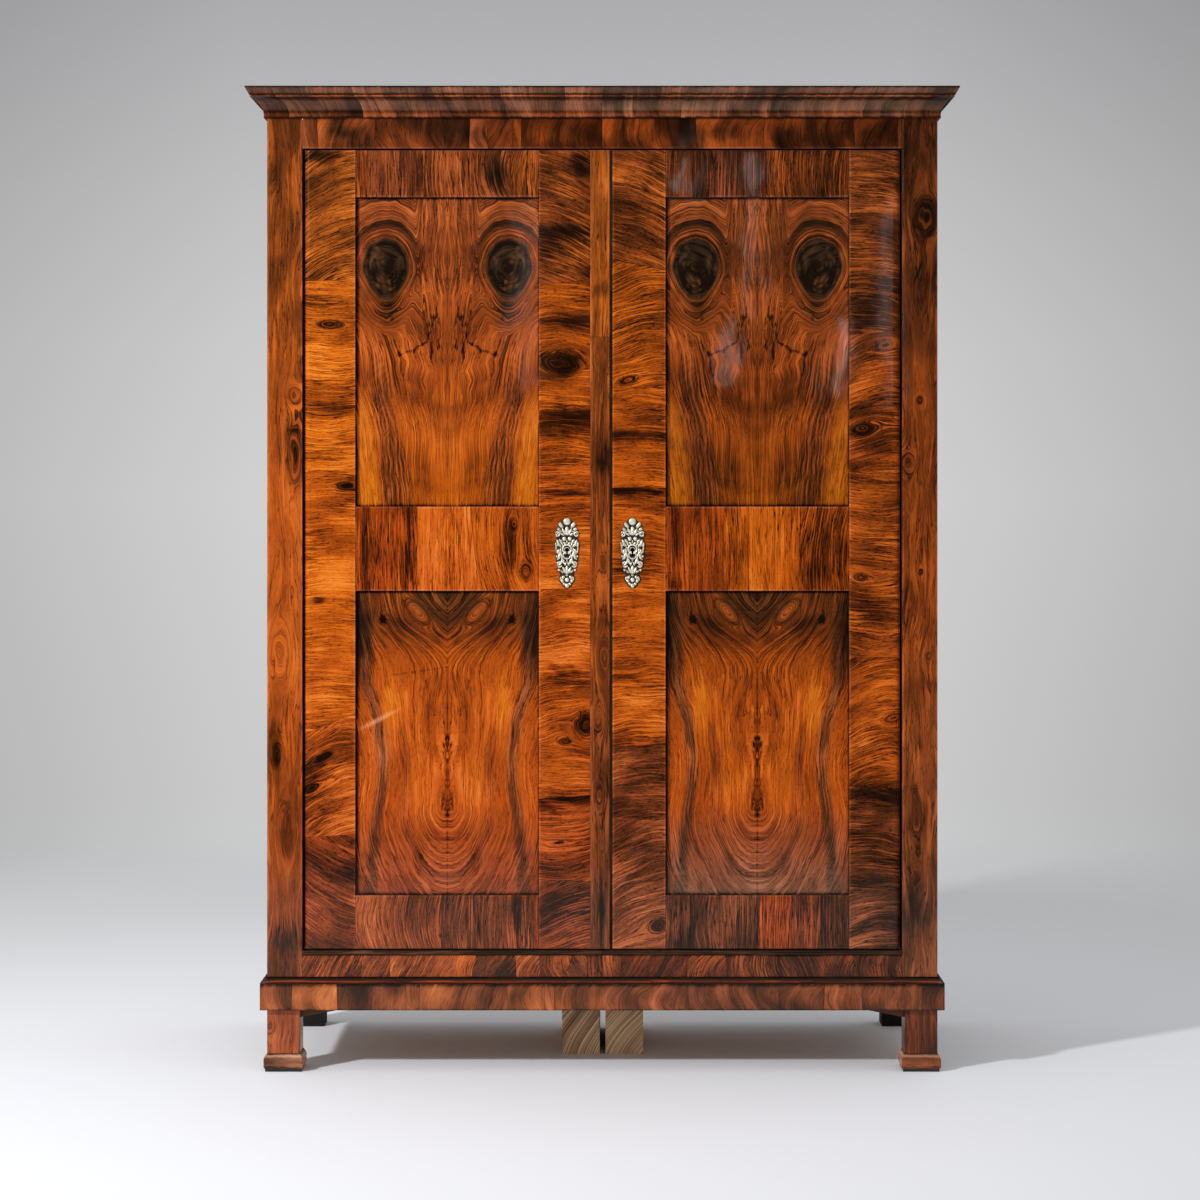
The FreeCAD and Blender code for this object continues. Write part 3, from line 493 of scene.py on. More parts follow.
def sweep(grid, flat, share, length, shown, look, figureOf=walnutFigure):
    # one closed skin: quads between neighbouring sections, one flat cap at each end
    stations, count = grid.shape[:2]
    rows = np.arange(stations - 1)[:, None] * count
    here = np.arange(count)
    ahead = (here + 1) % count
    quads = np.stack([rows + here, rows + ahead, rows + count + ahead, rows + count + here],
                     axis=-1).reshape(-1, 4)
    points = grid.reshape(-1, 3)
    a, b, c, d = (points[quads[:, i]] for i in range(4))
    caps = [here, here + (stations - 1) * count]
    volume = np.sum(np.cross(a, b) * c) + np.sum(np.cross(a, c) * d)
    for ring, way in zip(caps, (-1, 1)):
        volume += way * np.sum(np.cross(points[ring], points[np.roll(ring, -1)]) @ points[ring[0]])
    caps[0] = here[::-1]
    if volume < 0:
        quads, caps = quads[:, ::-1], [cap[::-1] for cap in caps]
    h, v = flat[..., 0].ravel(), flat[..., 1].ravel()
    share, length, loops = share.ravel(), length.ravel(), quads.ravel()
    below = length[quads].mean(1) > jointLines(look, share[quads].mean(1))
    patch = np.repeat(np.sum(below, axis=0), 4)      # how many joints lie below
    figure, tone = figureOf(look, h[loops], v[loops], share[loops], length[loops], patch)
    return {"points": points, "quads": quads, "caps": caps, "figure": figure, "tone": tone,
            "shown": np.tile(shown, stations - 1)}


def addObject(name, data):
    holder = bpy.data.objects.new(name, data)
    bpy.context.scene.collection.objects.link(holder)
    return holder


def buildMesh(name, points, loops, starts, sharpAngle):
    # points in metres, the point number of each corner, and each face's first corner
    mesh = bpy.data.meshes.new(name)
    mesh.vertices.add(len(points))
    mesh.vertices.foreach_set("co", points.astype(np.float32).ravel())
    mesh.loops.add(len(loops))
    mesh.loops.foreach_set("vertex_index", loops.astype(np.int32))
    mesh.polygons.add(len(starts))
    mesh.polygons.foreach_set("loop_start", starts.astype(np.int32))
    mesh.polygons.foreach_set("use_smooth", np.ones(len(starts), bool))
    mesh.update(calc_edges=True)
    mesh.set_sharp_from_angle(angle=math.radians(sharpAngle))
    return mesh


def addPiece(name, mesh, body, node, materials):
    for material in materials:
        mesh.materials.append(material)
    piece = addObject(name, mesh)
    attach(piece, body)
    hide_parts(node)
    return piece


def camelName(node):
    first, *others = node.split("_")
    return first + "".join(word.title() for word in others)


capTone = (0.4, 0, 0.2, 0)      # sawn ends


def makePiece(node, parts, materials, body="carcass", name=None):
    # joins the swept parts into one mesh; material 0 where veneer is shown, 1 elsewhere
    name = name or camelName(node)
    points, loops, starts, figure, tone, choice = [], [], [], [], [], []
    base, loopBase = 0, 0
    for part in parts:
        quads, caps = part["quads"] + base, part["caps"]
        points.append(part["points"])
        sizes = [4] * len(quads) + [len(cap) for cap in caps]
        starts.append(loopBase + np.cumsum([0] + sizes[:-1]))
        loops += [quads.ravel()] + [cap + base for cap in caps]
        plain = len(caps[0]) + len(caps[1])
        figure += [part["figure"], np.zeros((plain, 3))]
        tone += [part["tone"], np.tile(capTone, (plain, 1))]
        choice += [np.where(part["shown"], 0, 1), np.ones(len(caps), int)]
        base += len(part["points"])
        loopBase += sum(sizes)
    mesh = buildMesh(name, np.concatenate(points) * mm, np.concatenate(loops), np.concatenate(starts), 38)
    mesh.polygons.foreach_set("material_index", np.concatenate(choice).astype(np.int32))
    for key, kind, field, rows in (("figure", "FLOAT_VECTOR", "vector", figure),
                                   ("tone", "FLOAT_COLOR", "color", tone)):
        values = np.concatenate(rows).astype(np.float32).ravel()
        mesh.attributes.new(key, kind, "CORNER").data.foreach_set(field, values)
    return addPiece(name, mesh, body, node, materials)


def cutter(points, faces):
    mesh = bpy.data.meshes.new("cutter")
    mesh.from_pydata([tuple(p) for p in np.array(points) * mm], [], faces)
    for slot in range(2):
        mesh.materials.append(walnutUpright)
    mesh.polygons.foreach_set("material_index", np.ones(len(faces), np.int32))
    return addObject("cutter", mesh)


def boxCutter(x0, x1, y0, y1, z0, z1):
    points = [(x, y, z) for x in (x0, x1) for y in (y0, y1) for z in (z0, z1)]
    return cutter(points, [(0, 1, 3, 2), (4, 6, 7, 5), (0, 4, 5, 1), (2, 3, 7, 6), (0, 2, 6, 4),
                           (1, 5, 7, 3)])


def prismCutter(outline, y0, y1):
    # an outline of (x, z) points, anticlockwise seen from the front, run from y0 back to y1
    count = len(outline)
    points = [(x, y0, z) for x, z in outline] + [(x, y1, z) for x, z in outline]
    sides = [(i, i + count, (i + 1) % count + count, (i + 1) % count) for i in range(count)]
    return cutter(points, [tuple(range(count)), tuple(range(2 * count - 1, count - 1, -1))] + sides)


def cutAway(piece, cutters):
    # an exact cut keeps the figure and tone of every face that stays; the cut faces show the plain wood
    for holder in cutters:
        modifier = piece.modifiers.new("cut", "BOOLEAN")
        modifier.operation = "DIFFERENCE"
        modifier.solver = "EXACT"
        modifier.object = holder
    graph = bpy.context.evaluated_depsgraph_get()
    mesh = bpy.data.meshes.new_from_object(piece.evaluated_get(graph), preserve_all_data_layers=True,
                                           depsgraph=graph)
    mesh.set_sharp_from_angle(angle=math.radians(38))
    piece.modifiers.clear()
    piece.data = mesh
    for holder in cutters:
        bpy.data.meshes.remove(holder.data)
    print("cut", piece.name)


def boardPart(box, run, look, rounds=(0.5, 0.5, 0.5, 0.5), face="front", figureOf=walnutFigure, step=3.0,
              soft=0.5):
    # a straight board: across and depth from a rounded rectangle, length from one end to the other;
    # rounds are the front low, front high, rear high and rear low corners
    x0, x1, y0, y1, z0, z1 = box
    if face == "front":
        low, high, thick = (x0, x1, y1 - y0) if run == "z" else (z0, z1, y1 - y0)
    else:
        low, high, thick = y0, y1, x1 - x0
    start, end = (x0, x1) if run == "x" else (z0, z1)
    heel = 6.0      # mm, corners rounder than this carry veneer round to the back
    outline, shown = sectionOutline([
        (low, 0.0, rounds[0], step, True), (high, 0.0, rounds[1], 1e3, rounds[1] > heel),
        (high, thick, rounds[2], 120.0, False), (low, thick, rounds[3], 1e3, False)])
    if rounds[0] > heel:
        shown = shown | (np.maximum(outline[:, 1], np.roll(outline[:, 1], -1)) < rounds[0] + 0.1)
    places = stationPlaces(look, start, end, step)
    sections = np.repeat(outline[None], len(places[0]), axis=0)
    sections[0] = sections[-1] = inset(outline, soft)
    across, depth = sections[..., 0], sections[..., 1]
    share = np.clip((across - low) / (high - low), 0, 1)
    length = places[0][:, None] * (1 - share) + places[1][:, None] * share
    if face == "front":
        h, v = (across, length) if run == "z" else (length, across)
        grid = np.stack([h, y0 + depth, v], axis=-1)
    else:
        h, v = across, length
        grid = np.stack([x1 - depth if face == "right" else x0 + depth, h, v], axis=-1)
    return sweep(grid, np.stack([h, v], axis=-1), share, length, shown, {"across": high - low, **look},
                 figureOf)


# the carcass front

sides = {"left": -1, "right": 1}
frontRounds = (1.5, 1.5, 0.5, 0.5)      # mm, the broken arrises of a board that shows its front edges
seamHalf = 0.5                          # mm, half the gap between the two halves where nothing shines through
# the tones along the stiles' height darken towards the foot and the top: painted shade of the light falling
# off from the middle
stileLooks = {
    "left": {
        "seed": 11, "wave": 6, "waveSize": (60, 210), "patches": [(90, 0, 0.48, 0.02, 0.08)],
        "tones": [(175, -0.08, 0.15, 0.24), (330, -0.04, 0.15, 0.14), (600, 0.02, 0.1, 0),
            (900, 0.11, 0.05, 0), (1250, 0.07, 0, 0), (1500, -0.06, -0.14, 0), (1890, -0.1, -0.16, 0.06)],
        "knots": [(-594, 1397, 9, 27, 0.2), (-608, 1223, 17, 66, 0.28), (-646, 628, 9, 26, 0.45),
            (-612, 1342, 14, 22, 0.12), (-640, 824, 20, 60, 0.12), (-625, 470, 12, 55, 0.2)],
        "clouds": [(-612, 1223, 30, 90, -0.06, 0.05, 0, 0.05), (-650, 628, 16, 60, -0.1, 0.2),
            (-600, 262, 60, 30, -0.1, 0.1, 0, 0.1), (-640, 1780, 14, 60, -0.08, 0.06)],
    },
    "right": {
        "seed": 23, "wave": 6, "waveSize": (60, 210), "patches": [(90, 0, 0.36, 0, 0.1)],
        "tones": [(175, 0.01, -0.05, 0.36), (500, 0.07, -0.02, 0.2), (900, 0.03, 0, 0), (1300, -0.01, 0, 0),
            (1600, -0.12, -0.08, 0.04), (1890, -0.15, -0.08, 0.1)],
        "knots": [(642, 1695, 26, 44, 0.22), (630, 1332, 7, 10, 0.4), (604, 1207, 14, 24, 0.3),
            (632, 991, 5, 8, 0.45), (647, 824, 5, 8, 0.45), (625, 500, 16, 80, 0.15)],
        "clouds": [(640, 1695, 40, 80, -0.03, 0.02), (650, 760, 14, 60, 0.08),
            (620, 320, 50, 40, -0.1, 0.12, 0, 0.1)],
    },
}
for side in sides:
    node = side + "_front_stile"
    makePiece(node, [boardPart(cadBox(node), "z", stileLooks[side], frontRounds)],
              [plainWalnut, walnutUpright])
friezeLooks = {
    "left": {
        "seed": 31, "wave": 3, "waveSize": (90, 90),
        "joints": [(-564, -566), (-453, -450), (-312, -316), (-264, -262), (-227, -229), (-179, -176),
            (-161, -160)],
        "patches": [(96, 0, 0.32, 0, 0.3), (70, 6, 0.35, 0, 0.24), (105, 8, 0.36, 0.1, 0.2),
            (78, 0, 0.33, 0.1, 0.2), (96, 10, 0.4, 0.15, 0.3), (60, 4, 0.32, 0.15, 0.15),
            (110, 0, 0.36, 0, 0.12), (80, 9, 0.34, 0.05, 0.06)],
        "clouds": [(-520, 1862, 30, 12, -0.08, 0.15), (-250, 1850, 20, 20, -0.08, 0.15)],
    },
    "right": {
        "seed": 37, "wave": 3, "waveSize": (90, 90),
        "joints": [(41, 43), (188, 185), (319, 322), (501, 498), (586, 586)],
        "patches": [(84, 4, 0.32, 0.1, 0.06), (102, 6, 0.28, 0.05, 0.06), (72, 9, 0.33, 0.05, 0.1),
            (95, 8, 0.27, 0.1, 0.1), (64, 5, 0.32, 0.2, 0.1), (90, 0, 0.28, 0.1, 0.2)],
        "clouds": [(250, 1862, 40, 14, -0.06, 0.12)],
    },
}
bottomRailLooks = {
    "left": {
        "seed": 41, "wave": 3, "waveSize": (80, 80), "tones": [(0, -0.01, -0.12, 0.02)],
        "joints": [(-480, -476), (-420, -422), (-296, -288), (-262, -250), (-170, -172), (-120, -126),
            (-78, -60), (-30, -30)],
        "patches": [(62, 0, 0.42, 0.35, 0.2), (66, 0, 0.44, 0.4, 0.25), (60, 0, 0.46, 0.4, 0.2),
            (82, 6, 0.54, 0.3, 0.1), (55, 0, 0.34, 0.3, 0.3), (70, 8, 0.46, 0.4, 0.2),
            (110, 6, 0.42, 0.4, 0.2), (120, 0, 0.36, 0.35, 0.3), (95, 0, 0.44, 0.4, 0.2)],
    },
    "right": {
        "seed": 43, "wave": 3, "waveSize": (80, 80), "tones": [(0, -0.01, -0.12, 0.02)],
        "joints": [(38, 38), (168, 166), (250, 244), (352, 352), (430, 446), (500, 498)],
        "patches": [(96, 0, 0.36, 0.35, 0.2), (58, 0, 0.38, 0.45, 0.15), (68, 10, 0.34, 0.4, 0.2),
            (100, 6, 0.3, 0.3, 0.25), (112, 0, 0.25, 0.3, 0.3), (84, 5, 0.31, 0.35, 0.2),
            (92, 4, 0.29, 0.35, 0.25)],
    },
}
# the sill bead: dark olive brown, with a painted highlight along its round at 235 mm
sillLook = {
    "seed": 47, "wave": 1.5, "patches": [(2, 0, 0.05, -0.3, 0.6)], "waveSize": (400, 60),
    "clouds": [(0, 235, 100000, 1.6, 0.16)],
}
for side in sides:
    box = cadBox(side + "_frieze_rail")
    makePiece(side + "_frieze_rail", [boardPart(box, "x", friezeLooks[side], (1.5, 0.5, 0.5, 0.5))],
              [burrWalnut, walnutAcross], name=side + "Frieze")
    node = side + "_bottom_rail"
    makePiece(node, [boardPart(cadBox(node), "x", bottomRailLooks[side])], [veneerWalnut, walnutAcross])
x0, x1, *others = cadBox("sill_beads")
makePiece("sill_beads",
          [boardPart([a, b, *others], "x", {**sillLook, "seed": seed}, (4.5, 4.5, 0.5, 0.5), step=4.0)
           for a, b, seed in ((x0, -seamHalf, 47), (seamHalf, x1, 48))],
          [plainWalnut, walnutAcross])
print("carcass front ready")


# side boards, with plain upright veneer

# the tones along the height darken towards the foot and the top: painted shade of the light falling off from
# the middle
sideLook = {
    "wave": 16, "waveSize": (230, 900), "patches": [(90, 0, 0.44, 0.12, 0.12)],
    "tones": [(175, -0.05, 0.1, 0.15), (900, 0.03, 0, 0), (1890, -0.04, 0, 0.08)],
}
sideKnots = {"left": [(60, 1250, 16, 40, 0.5), (-120, 620, 10, 24, 0.5)],
             "right": [(-30, 1420, 14, 34, 0.5), (150, 760, 12, 28, 0.5)]}
for side, seed in (("left", 53), ("right", 59)):
    node = side + "_side_board"
    look = {**sideLook, "seed": seed, "knots": sideKnots[side]}
    makePiece(node, [boardPart(cadBox(node), "z", look, face=side, step=7.0)], [sideWalnut, pineUpright])
print("side boards ready")


# cornice, plinth and mouldings, mitred at the corners

def coveArc(start, end, sag, count):
    # points on the arc through start and end whose middle stands sag off the chord, to the left of it
    start, end = np.array(start, float), np.array(end, float)
    chord = end - start
    length = np.linalg.norm(chord)
    radius = (length ** 2 / 4 + sag ** 2) / (2 * abs(sag))
    left = np.array([-chord[1], chord[0]]) / length * np.sign(sag)
    middle = (start + end) / 2 - left * (radius - abs(sag))
    spread = math.asin(length / 2 / radius)
    turn = np.linspace(-spread, spread, count)[:, None]
    return middle + radius * (left * np.cos(turn) + chord / length * np.sin(turn))


corniceShape = {
    "foot": (6.2, 0.0), "coveTop": (30.7, 39.0), "coveSag": 8.2, "filletTop": 43.0, "step": 32.2,
    "lip": (40.0, 57.0), "top": 59.0, "inside": -28.5,
}
fineSeam = 0.02     # mm, half the gap between the two halves, too fine to let daylight through
plinthShape = {"reach": 13.0, "inside": -9.0, "height": 52.0, "round": 1.5}
mouldingShape = {"reach": 13.0, "edge": 1.5, "top": (2.5, 13.0), "sag": 2.8}
halfWidth, front = cadBox("right_front_stile")[1:3]
back = cadBox("left_side_board")[3]


def mouldingRun(base, outline, shown, look, sign, isSide, step, soft, seam):
    # a section of (reach, height) carried from the seam to the mitre, or from the mitre to the back
    run = np.linalg.norm(outline - np.roll(outline, 1, axis=0), axis=1)
    arc = np.cumsum(run) - run[0]
    start, end = (halfWidth, halfWidth + back - front) if isSide else (seam, halfWidth)
    places = stationPlaces(look, start, end, step)
    sections = np.repeat(outline[None], len(places[0]), axis=0)
    sections[0] = sections[-1] = inset(outline, soft)
    reach, height = sections[..., 0], sections[..., 1]
    share = np.broadcast_to(np.clip(arc / max(arc[shown].max(), 1), 0, 1), reach.shape)
    length = places[0][:, None] * (1 - share) + places[1][:, None] * share
    t = (length - start) / (end - start)
    if isSide:
        x, y = halfWidth + reach, (front - reach) * (1 - t) + back * t
    else:
        x, y = seam * (1 - t) + (halfWidth + reach) * t, front - reach
    grid = np.stack([sign * x, y, base + height], axis=-1)
    flat = np.stack([sign * length, np.broadcast_to(arc, reach.shape)], axis=-1)
    return sweep(grid, flat, share, length, shown, look)


def segments(seed, joints, looks):
    # the veneer's upright pieces along a moulding, repeated tones in the given order
    return {"seed": seed, "wave": 1.6, "waveSize": (70.0, 60.0),
            "joints": [(j, j + 2 * (i % 3 - 1)) for i, j in enumerate(joints)],
            "patches": [looks[i % len(looks)] for i in range(len(joints) + 1)]}


# bands along an outline, by mm from its start: painted shade in the hollows and under the steps, painted
# highlights on the arrises and fillets
everywhere = 1e5
corniceBands = [(0, 0, everywhere, 2, -0.1, 0.55), (0, 6, everywhere, 5, -0.02, 0, -0.1, -0.35),
    (0, 12, everywhere, 3, -0.14, 0.05, 0, -0.2), (0, 26, everywhere, 9, -0.03, 0, 0, 0.05),
    (0, 43, everywhere, 6, -0.15, 0.2, 0.1, -0.2), (0, 51.5, everywhere, 2.2, 0.12, 0, -0.2, -0.55),
    (0, 55.2, everywhere, 2.2, -0.15, 0.9), (0, 72.5, everywhere, 2.4, -0.1, 0.6)]
plinthBands = [(0, 0, everywhere, 2.2, -0.05, 0.5), (0, 51, everywhere, 3, -0.05, 0.3)]
mouldingBands = [(0, 1.5, everywhere, 1.6, 0, 0.6), (0, 8, everywhere, 2.6, 0.13, 0, 0.3, -0.1),
    (0, 15, everywhere, 3.4, -0.05, 0.6)]
coveShade = {"left": [(0, 16, everywhere, 13, -0.05)], "right": [(0, 16, everywhere, 13, 0.05, 0, 0, 0.08)]}
corniceTones = {
    "left": [(92, 5, 0.47, 0.35, 0.7), (80, 3, 0.44, 0.4, 0.64), (98, 6, 0.51, 0.35, 0.75),
        (86, 4, 0.42, 0.4, 0.6), (100, 5, 0.48, 0.35, 0.7), (84, 2, 0.45, 0.35, 0.74)],
    "right": [(88, 5, 0.44, 0.38, 0.84), (97, 4, 0.4, 0.4, 0.76), (82, 5, 0.47, 0.35, 0.86),
        (94, 3, 0.38, 0.4, 0.76)],
}
plinthTones = {
    "left": [(78, 8, 0.48, -0.12, 0.34), (102, 6, 0.43, 0, 0.38), (90, 12, 0.51, -0.12, 0.32),
        (70, 5, 0.45, -0.05, 0.36), (110, 9, 0.49, -0.15, 0.34), (84, 4, 0.41, 0, 0.4)],
    "right": [(72, 12, 0.42, 0.1, 0.42), (108, 8, 0.36, 0.12, 0.44), (66, 10, 0.41, 0.05, 0.4),
        (92, 6, 0.48, 0, 0.36), (86, 5, 0.42, 0.05, 0.4)],
}
corniceJoints = {
    "left": [72, 138, 190, 262, 318, 402, 470, 548, 615], "right": [60, 155, 231, 330, 405, 512, 590],
    "side": [760, 860, 985, 1090, 1160],
}
plinthJoints = {
    "left": [94, 112, 183, 356, 381, 514, 604], "right": [168, 343, 430, 505, 622],
    "side": [780, 905, 1010, 1130],
}
s = corniceShape
cove = coveArc(s["foot"], s["coveTop"], s["coveSag"], 26)
corniceLine = sectionOutline([(*p, 0.0, 5.0, True) for p in cove[:-1]] + [
    (*s["coveTop"], 0.4, 2.0, True), (s["coveTop"][0], s["filletTop"], 0.4, 2.0, True),
    (s["step"], s["filletTop"], 0.4, 2.0, True), (*s["lip"], 0.5, 1.0, True),
    (s["lip"][0], s["top"], 0.6, 16.0, False), (s["inside"], s["top"], 0.5, 1e3, False),
    (s["inside"], 0.0, 0.5, 20.0, False)])
s = plinthShape
plinthLine = sectionOutline([
    (s["reach"], 0.0, s["round"], 3.0, True), (s["reach"], s["height"], s["round"], 1e3, False),
    (s["inside"], s["height"], 0.5, 1e3, False), (s["inside"], 0.0, 0.5, 1e3, False)])
s = mouldingShape
hollow = coveArc(s["top"], (s["reach"], s["edge"]), -s["sag"], 12)[::-1]
mouldingLine = sectionOutline(
    [(s["reach"], 0.0, 0.3, 1e3, True)] + [(*p, 0.0, 2.0, True) for p in hollow]
    + [(0.0, s["top"][1], 0.3, 1e3, False), (0.0, 0.0, 0.3, 1e3, False)])
mouldingLook = {"wave": 1, "waveSize": (300, 20), "patches": [(0, 0, 0.22, 0.35, 0.1)],
                "clouds": mouldingBands}
mouldingParts = []
for side, seed in (("left", 61), ("right", 71)):
    for isSide, place in ((False, "front"), (True, "side")):
        key = "side" if isSide else side
        for kind, line, joints, tones, extra in (
                ("_cornice_", corniceLine, corniceJoints, corniceTones,
                 {"clouds": corniceBands + coveShade[side]}),
                ("_plinth_", plinthLine, plinthJoints, plinthTones, {"clouds": plinthBands, "wave": 4.5})):
            look = {**segments(seed + isSide + (4 if kind == "_plinth_" else 0), joints[key], tones[side]),
                    **extra}
            node = side + kind + place
            part = mouldingRun(cadBox(node)[4], *line, look, sides[side], isSide, 4.0, 0.4, fineSeam)
            makePiece(node, [part], [burrWalnut, walnutAcross])
        look = {**mouldingLook, "seed": seed + 8 + isSide}
        part = mouldingRun(cadBox("plinth_mouldings")[4], *mouldingLine, look, sides[side], isSide, 6.0, 0.2,
                           fineSeam)
        mouldingParts.append(part)
makePiece("plinth_mouldings", mouldingParts, [plainWalnut, walnutAcross])
print("cornice and plinth ready")


# door frames

